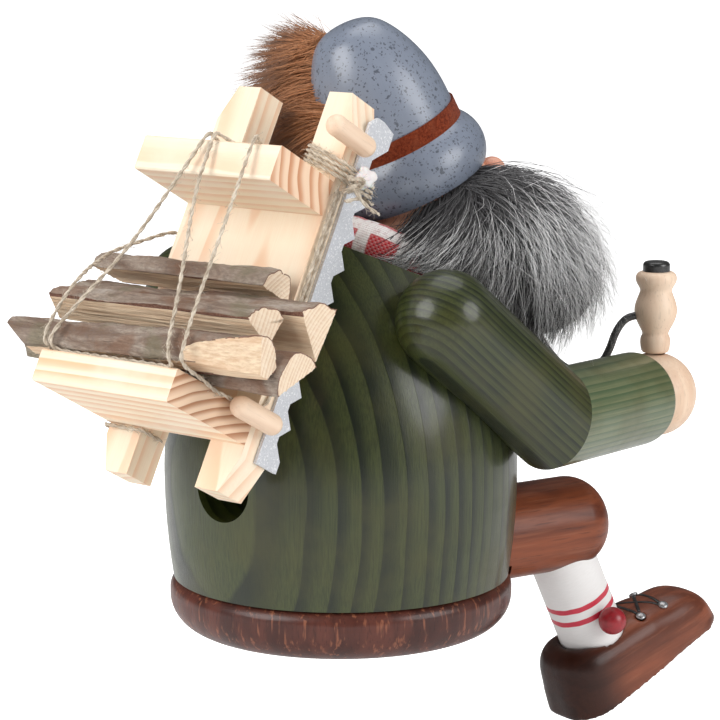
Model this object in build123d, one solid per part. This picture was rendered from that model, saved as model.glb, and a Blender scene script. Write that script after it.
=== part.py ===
import math
import os

from build123d import *

# A turned wooden smoking figure that sits on the edge of a shelf with a wood carrier's frame on its back.
# The origin is the centre of the base disc's flat underside. +Z is up, the chest faces -Y and the
# figure's right side is -X. Every length is in millimetres and every angle in degrees.

# Base disc with the round step that plugs the smoke chamber
base_radius = 44.0
base_thickness = 13.5
base_top_edge_radius = 3.4
base_bottom_edge_radius = 8.6
spigot_height = 6.0
spigot_edge = 0.8
spigot_clearance = 0.35

# Dish for the incense cone and the nail that holds it
dish_radius = 11.5
dish_wall = 0.6
dish_depth = 2.6
dish_flare = 2.4
nail_shank_radius = 0.8
nail_head_radius = 2.2
nail_head_height = 0.9
nail_depth = 8.0

# Egg-shaped body with its smoke chamber
body_seam_radius = 43.1
body_radius = 45.2
body_widest_height = 40.5
body_side_radius = 102.5
body_top_height = 112.0
chamber_radius = 17.0
chamber_height = 58.0
chamber_cone_height = 9.0
air_hole_radius = 8.5
air_hole_height = 42.5
neck_plane_height = 97.6
neck_tilt = 22.5
head_turn = 29.0

# Head ball, neck spigot and smoke channel
head_radius = 17.5
head_side = 7.0
head_forward = 25.6
neck_show = 2.0
neck_radius = 8.0
neck_length = 12.0
smoke_channel_radius = 2.6
mouth_radius = 2.8
mouth_drop_angle = 8.0
nose_radius = 3.6
nose_out = 2.2
nose_lift_angle = 20.0
eye_radius = 1.1
eye_spread_angle = 20.0
eye_lift_angle = 25.0
glue_gap = 0.1

# Turned hat, leather band and fur plume
hat_tilt = 27.0
hat_rim_radius = 18.7
hat_rim_height = 4.0
hat_brim_radius = 20.6
hat_brim_height = 10.5
hat_groove_radius = 16.6
hat_groove_bottom = 17.2
band_width = 4.6
band_thickness = 1.0
hat_crown_radius = 17.0
hat_crown_height = 28.5
crown_shares = [(0.93, 0.42), (0.62, 0.84)]
plume_long = 20.0
plume_wide = 15.0
plume_thick = 8.0
plume_out = 20.3
plume_rise = 36.7
plume_out_angle = 50.6
plume_lean = 30.0
soft_gap = 0.3

# Scarf and beard
scarf_ring_radius = 21.0
scarf_half_width = 4.2
scarf_half_height = 5.4
scarf_rise = 3.4
beard_half_width = 30.0
beard_half_depth = 24.0
beard_half_height = 21.0
beard_forward = 23.0
beard_drop = 18.0
beard_side = 8.0
beard_tilt = 34.0

# Arms, hands and their dowels
arm_radius = 12.4
wrist_edge_radius = 2.0
shoulder_inset = 3.2
shoulder_back = 10.0
shoulder_height = 84.0
elbow_flare = 2.8
elbow_forward = 25.0
elbow_height = 55.5
hand_inset = 3.2
hand_forward = 80.0
hand_height = 53.5
hand_radius = 11.2
hand_setback = 10.0
dowel_radius = 2.5
dowel_bite = 7.0
shoulder_dowel_length = 26.0

# Pipe held on the right hand
pipe_foot_radius = 2.6
pipe_bead_radius = 4.1
pipe_bead_height = 4.2
pipe_bowl_radius = 5.9
pipe_bowl_height = 9.8
pipe_neck_radius = 4.1
pipe_neck_height = 16.3
pipe_flange_radius = 5.7
pipe_flange_height = 19.6
pipe_top_height = 22.0
pipe_bore_radius = 2.0
pipe_bore_depth = 7.0
lid_radius = 3.6
lid_height = 2.6
lid_edge_radius = 1.1
stem_radius = 1.1
stem_bend_share = 0.45
# Route of the bent pipe stem, from the bowl towards the mouth
stem_route = [(-38.0, -75.8, 74.5), (-34.0, -71.5, 71.5), (-30.5, -66.0, 64.5),
              (-25.5, -59.5, 64.5), (-21.5, -54.5, 73.0), (-17.0, -49.5, 84.5)]

# Legs: thigh, sock and boot
thigh_radius = 12.4
thigh_knee_radius = 10.0
thigh_height = 19.8
thigh_hip_offset = 11.0
knee_overhang = 26.8
right_splay_angle = 16.0
left_splay_angle = 22.0
base_clearance = 0.5
right_shin_angle = 25.0
left_shin_angle = 55.0
right_shin_setback = 15.5
left_shin_setback = 13.0
sock_radius = 8.9
sock_length = 21.6
sock_inset = 6.0
sock_boot_inset = 3.0
boot_length = 53.5
boot_width = 24.0
boot_toe_width = 19.0
boot_height = 19.8
boot_toe_height = 13.6
boot_heel_back = 16.0
boot_toe_slope_length = 15.0
boot_toe_slope_drop = 12.0
boot_heel_slope_length = 9.0
boot_heel_slope_drop = 5.0
boot_tip_angle = 7.0
boot_edge_radius = 6.5
boot_end_radius = 9.0
boot_edge_angle = 12.0
pompom_radius = 3.7
pompom_height_share = 0.28
eyelet_radius = 1.2
eyelet_length = 3.0
eyelet_proud = 0.4
eyelet_tilt = 24.0
eyelet_first = 12.5
eyelet_pitch = 8.3

# Carrying frame: one notched board with two planks
carrier_lean = 28.5
carrier_gap = 0.25
carrier_rise = 10.6
board_width = 44.3
board_thickness = 9.3
board_length = 102.6
notch_half_width = 11.3
notch_foot_depth = 15.0
notch_top_depth = 27.0
corner_width = 3.6
corner_length = 9.0
plank_depth = 21.3
plank_thickness = 8.9
plank_drop = 32.2
shelf_depth = 29.6
shelf_thickness = 8.1
shelf_height = 11.9
edge_break = 0.4
carrier_dowel_radius = 3.0
carrier_dowel_bite = 6.0

# Split logs. Each has its centre behind and above the shelf's front corner, radius, first angle of the
# bark, bark sweep, whether it is split to the centre, its ends across the board and the right end's lift
log_table = {
    "log_front": dict(back=24.4, up=3.35, radius=5.6, start=-36.0, sweep=252.0, split=False, left=37.0,
                      right=-41.0, lift=2.9),
    "log_middle": dict(back=18.4, up=11.0, radius=9.4, start=26.0, sweep=82.0, split=True, left=32.0,
                       right=-36.0, lift=0.0),
    "log_under": dict(back=11.8, up=5.8, radius=7.0, start=-50.0, sweep=180.0, split=False, left=41.0,
                      right=-42.0, lift=0.0),
    "log_rear": dict(back=4.6, up=13.2, radius=13.6, start=36.0, sweep=56.0, split=True, left=36.0,
                     right=-39.0, lift=0.0),
    "log_top": dict(back=6.6, up=27.4, radius=6.0, start=0.0, sweep=180.0, split=False, left=34.0,
                    right=-22.0, lift=0.0),
}
log_taper_share = 0.9

# Two-man saw tied to the frame's right post
saw_thickness = 0.9
saw_gap = 0.15
saw_back = 4.6
saw_notch = 9.4
saw_tip = 12.5
saw_bottom = 9.2
saw_top_drop = 3.3
saw_end_length = 7.8
saw_end_tip = 13.8
saw_end_corner = 2.2
tooth_first = 12.2
tooth_pitch = 8.24
tooth_count = 9
tooth_return_share = 0.34
tooth_flat_share = 0.22
handle_radius = 2.65
handle_length = 17.0
handle_reach = 12.0
handle_low = 18.6
handle_high_drop = 12.6
handle_end_share = 0.96

# Linen twine, with its routes given across the board, behind its rear face and up from its foot
twine_radius = 0.6
twine_tight_bend = 1.3
post_turns = 3
post_pitch = 1.25
post_lashing_rise = 4.7
twine_gap = 0.15
knot_radius = 2.4
knot_setback = 1.5
# From the knot down the right post, round the shelf's end, twice over the upper plank and under the front log
log_route = [(-22.95, -2.4, 75.5), (-22.95, -3.0, 27.0), (-22.95, -0.6, 21.2), (-22.95, 10.0, 20.2),
             (-23.3, 17.0, 19.6), (-23.8, 22.0, 20.4), (-24.1, 28.5, 20.9), (-24.2, 31.5, 22.7),
             (-22.1, 30.6, 27.3), (-14.3, 22.6, 80.0), (-11.8, 15.0, 80.2), (-4.4, 15.0, 80.2),
             (-1.6, 22.6, 80.0), (-4.0, 25.0, 64.3), (-16.9, 30.3, 29.5), (-20.6, 31.6, 22.4),
             (-20.0, 28.6, 20.8), (18.4, 27.6, 20.8), (18.7, 31.2, 22.6), (16.0, 29.2, 32.7),
             (7.8, 26.6, 49.6), (0.4, 22.6, 80.0), (2.6, 14.0, 80.2), (9.0, 12.0, 80.2)]
# From the front log over the left ends of the others and round the board's left edge
edge_route = [(20.5, 27.6, 20.8), (20.5, 31.2, 22.8), (20.8, 29.9, 30.9), (20.1, 28.0, 38.5), (23.4, 22.0, 44.4),
              (28.4, 14.0, 50.0), (27.0, 8.0, 55.8), (22.95, 0.8, 62.0), (22.95, -5.0, 63.4)]
# Round the board's left leg, just under the shelf
leg_route = [(22.95, -7.0, 11.0), (22.95, 0.8, 11.1), (10.5, 0.8, 11.1), (10.5, -7.0, 11.0)]
side_route = [(-22.95, -0.9, 75.5), (-22.95, -1.2, 30.0)]

# Long enough for any cut to pass right through
overrun = 5.0


def polar(radius, angle):
    return radius * math.cos(math.radians(angle)), radius * math.sin(math.radians(angle))


def turned(points, plane=Plane.XZ):
    """Revolves a closed outline of (radius, height) points about the plane's upright axis."""
    outline = make_face(Polyline(*points, close=True))
    return revolve(plane * outline, axis=Axis(plane.origin, plane.y_dir))


def ball(radius, centre):
    return Location(centre) * Sphere(radius)


def rod(start, end, radius):
    """A round bar between two points."""
    line = Vector(*end) - Vector(*start)
    plane = Plane(origin=start, z_dir=line.normalized())
    return plane * extrude(Circle(radius), line.length)


def tube(points, radius, bend):
    """A round cord that runs straight between points, with tangent arcs at the corners."""
    path = FilletPolyline(*points, radius=bend)
    section = Plane(origin=path @ 0, z_dir=path % 0) * Circle(radius)
    return sweep(section, path=path)


# Planes that carry the tilted parts
def head_centre():
    ahead = Vector(-head_side, -head_forward, 0).dot(facing(0))
    seat = neck_plane_height - ahead * math.tan(math.radians(neck_tilt))
    lift = (head_radius + neck_show) / math.cos(math.radians(neck_tilt))
    return Vector(-head_side, -head_forward, seat + lift)


def facing(angle_up, turn=0.0):
    """The direction the face looks in, raised by one angle and turned further by another."""
    flat, rise = polar(1, angle_up)
    sideways, forward = polar(flat, 270.0 - head_turn + turn)
    return Vector(sideways, forward, rise)


def neck_plane():
    tilt = facing(90.0 - neck_tilt)
    return Plane(origin=(0, 0, neck_plane_height), x_dir=facing(0, 90.0), z_dir=tilt)


def hat_plane():
    axis = facing(90.0 + hat_tilt)
    return Plane(origin=head_centre(), x_dir=facing(0, 90.0), z_dir=axis)


def leg_pose(side):
    """Splay of one thigh, lean of its shin and the shin's distance behind the knee."""
    if side < 0:
        return right_splay_angle, right_shin_angle, right_shin_setback
    return left_splay_angle, left_shin_angle, left_shin_setback


def leg_plane(side):
    """Upright plane of one leg, with X outwards along the thigh and Z up."""
    sideways, forward = polar(1, 270.0 + side * leg_pose(side)[0])
    hip = side * thigh_hip_offset
    return Plane(origin=(hip, 0, thigh_height), x_dir=(sideways, forward, 0), z_dir=(0, 0, 1))


def shin_plane(side):
    """Plane of one shin, with its origin where the shin's axis meets the thigh's and Z up the shin."""
    thigh = leg_plane(side)
    splay, lean, setback = leg_pose(side)
    knee = thigh.from_local_coords(Vector(body_radius + knee_overhang - setback, 0, 0))
    lean_x, lean_z = polar(1, 90.0 + lean)
    up = thigh.x_dir * lean_x + Vector(0, 0, lean_z)
    return Plane(origin=knee, x_dir=up.cross(thigh.y_dir) * -1, z_dir=up)


def carrier_plane():
    """Plane of the board's foot, with X across the board, Y out of its rear face and Z up the board."""
    lean = math.radians(carrier_lean)
    centre = (body_radius - body_side_radius) * math.cos(lean) + body_widest_height * math.sin(lean)
    rear = centre + body_side_radius + carrier_gap + board_thickness
    foot_y = rear * math.cos(lean) - carrier_rise * math.sin(lean)
    foot_z = rear * math.sin(lean) + carrier_rise * math.cos(lean)
    return Plane(origin=(0, foot_y, foot_z), x_dir=(1, 0, 0), z_dir=(0, -math.sin(lean), math.cos(lean)))


# Base
def base_disc():
    spigot = chamber_radius - spigot_clearance
    disc = Cylinder(base_radius, base_thickness, align=(Align.CENTER, Align.CENTER, Align.MIN))
    disc = fillet(disc.edges().group_by(Axis.Z)[-1], base_top_edge_radius)
    disc = fillet(disc.edges().group_by(Axis.Z)[0], base_bottom_edge_radius)
    step = Cylinder(spigot, base_thickness + spigot_height, align=(Align.CENTER, Align.CENTER, Align.MIN))
    step = chamfer(step.edges().group_by(Axis.Z)[-1], spigot_edge)
    top = base_thickness + spigot_height
    hole = rod((0, 0, top - nail_depth), (0, 0, top + overrun), nail_shank_radius + glue_gap)
    return disc + step - hole


def incense_dish():
    seat = base_thickness + spigot_height
    inner = dish_radius - dish_flare
    hole = nail_shank_radius + glue_gap
    return turned([(hole, seat), (inner, seat), (dish_radius, seat + dish_depth),
                   (dish_radius - dish_wall, seat + dish_depth), (inner - dish_wall, seat + dish_wall),
                   (hole, seat + dish_wall)])


def dish_nail():
    seat = base_thickness + spigot_height + dish_wall
    shank = rod((0, 0, seat - nail_depth), (0, 0, seat + nail_head_height), nail_shank_radius)
    head = turned([(0, seat), (nail_head_radius, seat), (nail_shank_radius, seat + nail_head_height),
                   (0, seat + nail_head_height)])
    return shank + head


# Body
def egg(extra=0):
    """The body's outer form, grown all round by the given amount."""
    low = (body_seam_radius + extra, base_thickness)
    wide = (body_radius + extra, body_widest_height)
    side = body_side_radius + extra
    top_radius = body_radius - body_side_radius + math.sqrt(side ** 2 - (body_top_height - body_widest_height) ** 2)
    top = (top_radius, body_top_height)
    belly = TangentArc(wide, low, tangent=(0, -1))
    crown = TangentArc(wide, top, tangent=(0, 1))
    edges = [Line((0, base_thickness), low), belly, crown, Line(top, (0, body_top_height)),
             Line((0, body_top_height), (0, base_thickness))]
    return revolve(Plane.XZ * make_face(edges), axis=Axis.Z)


def body_shell():
    shell = egg()
    above = Box(body_radius * 4, body_radius * 4, body_radius * 2, align=(Align.CENTER, Align.CENTER, Align.MIN))
    shell -= neck_plane() * above
    top = base_thickness + chamber_height
    shell -= turned([(0, -overrun), (chamber_radius, -overrun), (chamber_radius, top),
                     (0, top + chamber_cone_height)])
    shell -= rod((0, 0, air_hole_height), (0, body_radius + overrun, air_hole_height), air_hole_radius)
    neck = neck_foot()
    shell -= rod(neck, head_centre(), neck_radius + glue_gap)
    shell -= rod((0, 0, top), neck, smoke_channel_radius)
    for side in (-1, 1):
        shell -= shoulder_dowel(side, glue_gap)
    return shell - carrier_dowel(glue_gap)


# Head
def neck_foot():
    seat = neck_plane()
    down = head_radius + neck_show + neck_length
    return head_centre() - seat.z_dir * down


def head():
    centre = head_centre()
    skull = ball(head_radius, centre)
    skull += rod(neck_foot(), centre, neck_radius)
    skull -= rod(neck_foot(), centre, smoke_channel_radius)
    mouth = facing(-mouth_drop_angle)
    return skull - rod(centre, centre + mouth * (head_radius + overrun), mouth_radius)


def nose_centre():
    return head_centre() + facing(nose_lift_angle) * (head_radius + nose_out)


def nose():
    return ball(nose_radius, nose_centre()) - ball(head_radius, head_centre())


def eye_centres():
    turns = (-eye_spread_angle, eye_spread_angle)
    return [head_centre() + facing(eye_lift_angle, turn) * head_radius for turn in turns]


def eyes():
    skull = ball(head_radius, head_centre())
    return Compound(children=[ball(eye_radius, centre) - skull for centre in eye_centres()])


# Hat
def hat_outline(extra=0):
    """Closed outline of the hat in radius and height above the head's centre, with its rim grown."""
    groove_top = hat_groove_bottom + band_width
    rim = (hat_rim_radius + extra, hat_rim_height - extra)
    brim = (hat_brim_radius + extra, hat_brim_height)
    waist = (hat_groove_radius, hat_groove_bottom)
    roll = ThreePointArc(rim, brim, (hat_groove_radius + band_thickness, hat_groove_bottom))
    step = Line((hat_groove_radius + band_thickness, hat_groove_bottom), waist)
    wall = Line(waist, (hat_groove_radius, groove_top))
    ledge = Line((hat_groove_radius, groove_top), (hat_crown_radius, groove_top))
    bend = [(hat_crown_radius * wide, groove_top + hat_crown_height * high) for wide, high in crown_shares]
    crown = Spline((hat_crown_radius, groove_top), *bend, (0, groove_top + hat_crown_height),
                   tangents=[(0, 1), (-1, 0)])
    spine = Line((0, groove_top + hat_crown_height), (0, rim[1]))
    sole = Line((0, rim[1]), rim)
    return make_face([roll, step, wall, ledge, crown, spine, sole])


def hat_blank(extra=0):
    return hat_plane() * revolve(Plane.XZ * hat_outline(extra), axis=Axis.Z)


def hat():
    return hat_blank() - ball(head_radius + glue_gap, head_centre())


def hat_band():
    ring = Cylinder(hat_groove_radius + band_thickness, band_width, align=(Align.CENTER, Align.CENTER, Align.MIN))
    ring -= Cylinder(hat_groove_radius, band_width * 3)
    return hat_plane() * (Location((0, 0, hat_groove_bottom)) * ring)


def plume_plane():
    """Middle of the plume, lying in front of the board, with Z along the hair."""
    out_x, out_y = polar(plume_out, plume_out_angle)
    middle = hat_plane().from_local_coords(Vector(out_x, out_y, plume_rise))
    board = carrier_plane()
    across, along = polar(1, 90.0 - plume_lean)
    return Plane(origin=middle, x_dir=board.y_dir, z_dir=board.x_dir * across + board.z_dir * along)


def hat_plume():
    tuft = plume_plane() * scale(Sphere(1), (plume_thick, plume_wide, plume_long))
    return tuft - hat_blank(soft_gap)


# Scarf and beard
def scarf_ring(extra=0):
    seat = neck_plane()
    foot = seat.to_local_coords(head_centre())
    ring = Ellipse(scarf_half_width + extra, scarf_half_height + extra)
    ring = revolve(Plane.XZ * (Location((scarf_ring_radius, scarf_rise)) * ring), axis=Axis.Z)
    return seat * (Location((foot.X, foot.Y, 0)) * ring)


def scarf():
    seat = neck_plane()
    ring = scarf_ring()
    below = Box(body_radius * 4, body_radius * 4, body_radius * 2, align=(Align.CENTER, Align.CENTER, Align.MAX))
    ring -= seat * (Location((0, 0, soft_gap)) * below)
    ring -= ball(head_radius + soft_gap, head_centre())
    return ring - hat_blank(soft_gap)


def beard():
    lump = scale(Sphere(1), (beard_half_width, beard_half_depth, beard_half_height))
    centre = head_centre() + facing(0) * beard_forward - Vector(0, 0, beard_drop) + facing(0, -90.0) * beard_side
    plane = Plane(origin=centre, x_dir=facing(0, 90.0), z_dir=facing(90.0 - beard_tilt))
    fur = plane * lump
    fur -= ball(head_radius + soft_gap, head_centre())
    fur -= ball(nose_radius + soft_gap, nose_centre())
    for centre in eye_centres():
        fur -= ball(eye_radius + soft_gap, centre)
    fur -= hat_blank(soft_gap)
    fur -= egg(soft_gap)
    fur -= scarf_ring(soft_gap)
    for side in (-1, 1):
        shoulder, elbow, hand = arm_points(side)
        fur -= ball(arm_radius + soft_gap, shoulder)
        fur -= rod(shoulder, elbow, arm_radius + soft_gap)
        fur -= rod(elbow, hand, arm_radius + soft_gap)
    for start, end in zip(stem_route, stem_route[1:]):
        fur -= rod(start, end, stem_radius + soft_gap) + ball(stem_radius + soft_gap, end)
    return fur


# Arms
def arm_points(side):
    shoulder = Vector(side * (body_radius - shoulder_inset), shoulder_back, shoulder_height)
    elbow = Vector(side * (body_radius + elbow_flare), -elbow_forward, elbow_height)
    hand = Vector(side * (body_radius - hand_inset), -hand_forward, hand_height)
    return shoulder, elbow, hand


def mitre_plane(side):
    """Plane that halves the bend of the elbow, facing the hand."""
    shoulder, elbow, hand = arm_points(side)
    normal = (elbow - shoulder).normalized() + (hand - elbow).normalized()
    return Plane(origin=elbow, z_dir=normal.normalized())


def half_space(plane, extra=0):
    block = Box(body_radius * 4, body_radius * 4, body_radius * 4, align=(Align.CENTER, Align.CENTER, Align.MIN))
    return plane * (Location((0, 0, extra)) * block)


def upper_arm(side):
    shoulder, elbow, hand = arm_points(side)
    along = (elbow - shoulder).normalized()
    sleeve = rod(shoulder, elbow + along * (arm_radius * 2), arm_radius) + ball(arm_radius, shoulder)
    sleeve -= half_space(mitre_plane(side))
    sleeve -= egg(glue_gap)
    for peg in (shoulder_dowel(side, glue_gap), elbow_dowel(side, glue_gap)):
        sleeve -= peg
    return sleeve


def forearm(side):
    shoulder, elbow, hand = arm_points(side)
    along = (hand - elbow).normalized()
    back = mitre_plane(side)
    reach = (hand - elbow).length - hand_setback
    bar = Plane(origin=elbow - along * (arm_radius * 2), z_dir=along) * extrude(
        Circle(arm_radius), reach + arm_radius * 2)
    wrist = bar.edges().filter_by(GeomType.CIRCLE).sort_by(Axis(elbow, along))[-1]
    bar = fillet(wrist, wrist_edge_radius)
    bar &= half_space(back)
    bar -= egg(glue_gap)
    bar -= ball(hand_radius + glue_gap, hand)
    return bar - elbow_dowel(side, glue_gap)


def hand(side):
    palm = ball(hand_radius, arm_points(side)[2])
    if side < 0:
        foot = pipe_foot()
        palm -= rod(foot - Vector(0, 0, pipe_bore_depth), foot + Vector(0, 0, overrun), pipe_foot_radius + glue_gap)
    return palm


def shoulder_dowel(side, extra=0):
    shoulder = arm_points(side)[0]
    inwards = Vector(-shoulder.X, -shoulder.Y, 0).normalized()
    start = shoulder - inwards * (dowel_bite / 2)
    return rod(start, start + inwards * shoulder_dowel_length, dowel_radius + extra)


def elbow_dowel(side, extra=0):
    across = mitre_plane(side)
    return rod(across.origin - across.z_dir * dowel_bite, across.origin + across.z_dir * dowel_bite,
               dowel_radius + extra)


# Pipe
def pipe_foot():
    """Point on top of the right hand where the pipe stands."""
    return arm_points(-1)[2] + Vector(0, 0, hand_radius)


def pipe_bowl():
    wood = [(0, -pipe_bore_depth), (pipe_foot_radius, -pipe_bore_depth)]
    seat = math.sqrt(hand_radius ** 2 - pipe_foot_radius ** 2) - hand_radius
    profile = Spline((pipe_foot_radius, seat + glue_gap), (pipe_bead_radius, pipe_bead_height / 2),
                     (pipe_foot_radius + dish_wall, pipe_bead_height), (pipe_bowl_radius, pipe_bowl_height),
                     (pipe_neck_radius, pipe_neck_height), (pipe_flange_radius, pipe_flange_height),
                     (lid_radius, pipe_top_height))
    outline = make_face([Polyline((lid_radius, pipe_top_height), (0, pipe_top_height), *wood,
                                  (pipe_foot_radius, seat + glue_gap)), profile])
    bowl = Location(pipe_foot()) * revolve(Plane.XZ * outline, axis=Axis.Z)
    top = pipe_foot() + Vector(0, 0, pipe_top_height)
    bowl -= rod(top - Vector(0, 0, pipe_bore_depth), top + Vector(0, 0, overrun), pipe_bore_radius)
    return bowl - rod(stem_route[0], stem_route[1], stem_radius + glue_gap)


def pipe_lid():
    top = pipe_foot() + Vector(0, 0, pipe_top_height)
    cap = Cylinder(lid_radius, lid_height, align=(Align.CENTER, Align.CENTER, Align.MIN))
    cap = fillet(cap.edges().group_by(Axis.Z)[-1], lid_edge_radius)
    plug = Cylinder(pipe_bore_radius - glue_gap, lid_height, align=(Align.CENTER, Align.CENTER, Align.MAX))
    return Location(top) * (cap + plug)


def pipe_stem():
    return tube(stem_route, stem_radius, min(stem_bends()))


def stem_bends():
    """The largest radius that each bend of the stem has room for."""
    radii = []
    for before, here, after in zip(stem_route, stem_route[1:], stem_route[2:]):
        run_in, run_out = Vector(*here) - Vector(*before), Vector(*after) - Vector(*here)
        run = min(run_in.length, run_out.length)
        radii.append(stem_bend_share * run / math.tan(math.radians(run_in.get_angle(run_out) / 2)))
    return radii


# Legs
def thigh(side):
    plane = leg_plane(side)
    bar = extrude(Plane.YZ * Circle(thigh_radius), body_radius + knee_overhang)
    knee = bar.edges().group_by(Axis.X)[-1]
    bar = plane * fillet(knee, thigh_knee_radius)
    bar -= egg(glue_gap)
    bar -= Cylinder(base_radius + base_clearance, base_thickness * 2)
    bar -= rod((0, 0, base_thickness), (0, 0, base_thickness + body_radius), body_seam_radius)
    return bar - sock_blank(side, glue_gap)


def sock_blank(side, extra=0):
    """The round shin bar, let into the thigh above and the boot below."""
    top = sock_inset - thigh_radius
    bar = Cylinder(sock_radius + extra, sock_length + sock_inset + sock_boot_inset,
                   align=(Align.CENTER, Align.CENTER, Align.MAX))
    return shin_plane(side) * (Location((0, 0, top)) * bar)


def boot_top(side):
    """Plane of the boot's top, with X towards the toe, tipped forward from square with the shin."""
    plane = shin_plane(side)
    level, drop = polar(1, boot_tip_angle)
    return Plane(origin=plane.from_local_coords(Vector(0, 0, -thigh_radius - sock_length)),
                 x_dir=plane.x_dir * level - plane.z_dir * drop, z_dir=plane.z_dir * level + plane.x_dir * drop)


def boot(side):
    heel, toe = -boot_heel_back, boot_length - boot_heel_back
    blocks = []
    for along, width, height in ((heel, boot_width, boot_height), (toe, boot_toe_width, boot_toe_height)):
        face = Rectangle(width, height, align=(Align.CENTER, Align.MAX))
        blocks.append(Location((along, 0, 0)) * (Plane.YZ * face))
    block = loft(blocks)
    block = fillet(block.edges().filter_by(Axis.Z, tolerance=boot_edge_angle), boot_end_radius)
    block = fillet(block.edges().group_by(Axis.Z)[-1], boot_edge_radius)
    shoe = boot_top(side) * (block & boot_side_form()) - sock_blank(side, glue_gap)
    for nail in eyelet_nails(side, glue_gap):
        shoe -= nail
    return shoe


def boot_side_form():
    """The boot's side view, with curves down to the toe and the heel, wider than the boot."""
    heel, toe = -boot_heel_back, boot_length - boot_heel_back
    crest, tip = (toe - boot_toe_slope_length, 0), (toe, -boot_toe_slope_drop)
    brow, back = (heel + boot_heel_slope_length, 0), (heel, -boot_heel_slope_drop)
    curves = [TangentArc(crest, tip, tangent=(1, 0)), TangentArc(brow, back, tangent=(-1, 0))]
    sole = Polyline(tip, (toe, -boot_height), (heel, -boot_height), back)
    outline = make_face([*curves, sole, Line(brow, crest)])
    return extrude(Plane.XZ * outline, boot_width, both=True)


def pompom(side):
    plane = shin_plane(side)
    drop = thigh_radius + sock_length * (1 - pompom_height_share)
    out = sock_radius + pompom_radius
    return ball(pompom_radius, plane.from_local_coords(Vector(0, side * out, -drop)))


def eyelet_nails(side, extra=0):
    """Nails square with the boot's rounded top edges."""
    plane = boot_top(side)
    nails = []
    for row in range(2):
        along = eyelet_first + row * eyelet_pitch
        narrowing = (boot_width - boot_toe_width) * (along + boot_heel_back) / boot_length
        centre = (boot_width - narrowing) / 2 - boot_edge_radius
        for edge in (-1, 1):
            up, out = polar(1, eyelet_tilt)
            spot = Vector(along, edge * centre, -boot_edge_radius)
            spots = [spot + Vector(0, edge * out, up) * reach
                     for reach in (boot_edge_radius - eyelet_length, boot_edge_radius + eyelet_proud)]
            nails.append(rod(*[plane.from_local_coords(point) for point in spots], eyelet_radius + extra))
    return nails


def boot_eyelets(side):
    return Compound(children=eyelet_nails(side))


# Carrying frame
def carrier_board():
    board = Box(board_width, board_thickness, board_length, align=(Align.CENTER, Align.MAX, Align.MIN))
    half = board_width / 2
    for side in (-1, 1):
        for low, inner in ((0, corner_length), (board_length, board_length - corner_length)):
            corner = make_face(Polyline((side * half, low), (side * (half - corner_width), low),
                                        (side * half, inner), close=True))
            board -= extrude(Plane.XZ * corner, board_thickness + overrun, both=True)
    for low, high in ((-overrun, notch_foot_depth), (board_length - notch_top_depth, board_length + overrun)):
        gap = Box(notch_half_width * 2, board_thickness * 3, high - low, align=(Align.CENTER, Align.CENTER, Align.MIN))
        board -= Location((0, 0, low)) * gap
    return carrier_plane() * board - carrier_dowel(glue_gap)


def plank(depth, thickness, height):
    slab = Box(board_width, depth, thickness, align=(Align.CENTER, Align.MIN, Align.MIN))
    slab = chamfer(slab.edges().filter_by(Axis.X).group_by(Axis.Y)[-1], edge_break)
    return carrier_plane() * (Location((0, 0, height)) * slab)


def carrier_dowel(extra=0):
    """Blind dowel from the body's back into the middle of the board."""
    out = carrier_plane().y_dir
    touch = Vector(0, body_radius - body_side_radius, body_widest_height) + out * body_side_radius
    return rod(touch - out * (carrier_dowel_bite * 2), touch + out * (carrier_gap + carrier_dowel_bite),
               carrier_dowel_radius + extra)


# Firewood
def log(back, up, radius, start, sweep, split, left, right, lift):
    floor = shelf_height + shelf_thickness

    def section(across, size, rise):
        first, last = polar(size, start), polar(size, start + sweep)
        bark = ThreePointArc(first, polar(size, start + sweep / 2), last)
        wood = Polyline(last, (0, 0), first) if split else Line(last, first)
        plane = Plane(origin=(across, back, floor + rise), x_dir=(0, 1, 0), z_dir=(1, 0, 0))
        return plane * make_face([bark, wood])

    piece = loft([section(right, radius, up + lift), section(left, radius * log_taper_share, up)])
    return carrier_plane() * piece


def front_log():
    """The log that the twine passes under, with its groove."""
    piece = log(**log_table["log_front"])
    for route in (log_route, edge_route):
        piece -= tube(in_frame(route), twine_radius + twine_gap, twine_tight_bend)
    return piece


# Saw
def saw_outline():
    points = [(-saw_back, saw_bottom), (-saw_tip, saw_bottom)]
    for k in range(tooth_count):
        tip = tooth_first + k * tooth_pitch
        points.append((-saw_tip, tip))
        if k < tooth_count - 1:
            rise = tooth_pitch * (1 - tooth_return_share)
            points.append((-saw_notch, tip + rise - tooth_pitch * tooth_flat_share))
            points.append((-saw_notch, tip + rise))
    saw_top = board_length - saw_top_drop
    neck = saw_top - saw_end_length
    points += [(-saw_notch, tip + tooth_pitch * tooth_flat_share), (-saw_notch, neck - saw_end_corner),
               (-saw_end_tip, neck + saw_end_corner), (-saw_end_tip, saw_top - saw_end_corner / 2),
               (-saw_notch, saw_top), (-saw_back - saw_end_corner, saw_top),
               (-saw_back, saw_top - saw_end_corner)]
    return points


def saw_blade():
    face = make_face(Polyline(*saw_outline(), close=True))
    outer = -board_width / 2 - saw_gap
    plane = Plane(origin=(outer, 0, 0), x_dir=(0, 1, 0), z_dir=(1, 0, 0))
    return carrier_plane() * (plane * extrude(face, -saw_thickness))


def saw_handle(height):
    side = -board_width / 2 - saw_gap - saw_thickness - handle_radius
    bar = extrude(Plane.XZ * Circle(handle_radius), handle_length)
    bar = fillet(bar.edges(), handle_radius * handle_end_share)
    return carrier_plane() * (Location((side, handle_reach, height)) * bar)


# Twine
def in_frame(points):
    plane = carrier_plane()
    return [plane.from_local_coords(Vector(*point)) for point in points]


def log_lashing():
    return Compound(children=[tube(in_frame(route), twine_radius, twine_tight_bend)
                              for route in (log_route, edge_route, leg_route)])


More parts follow.
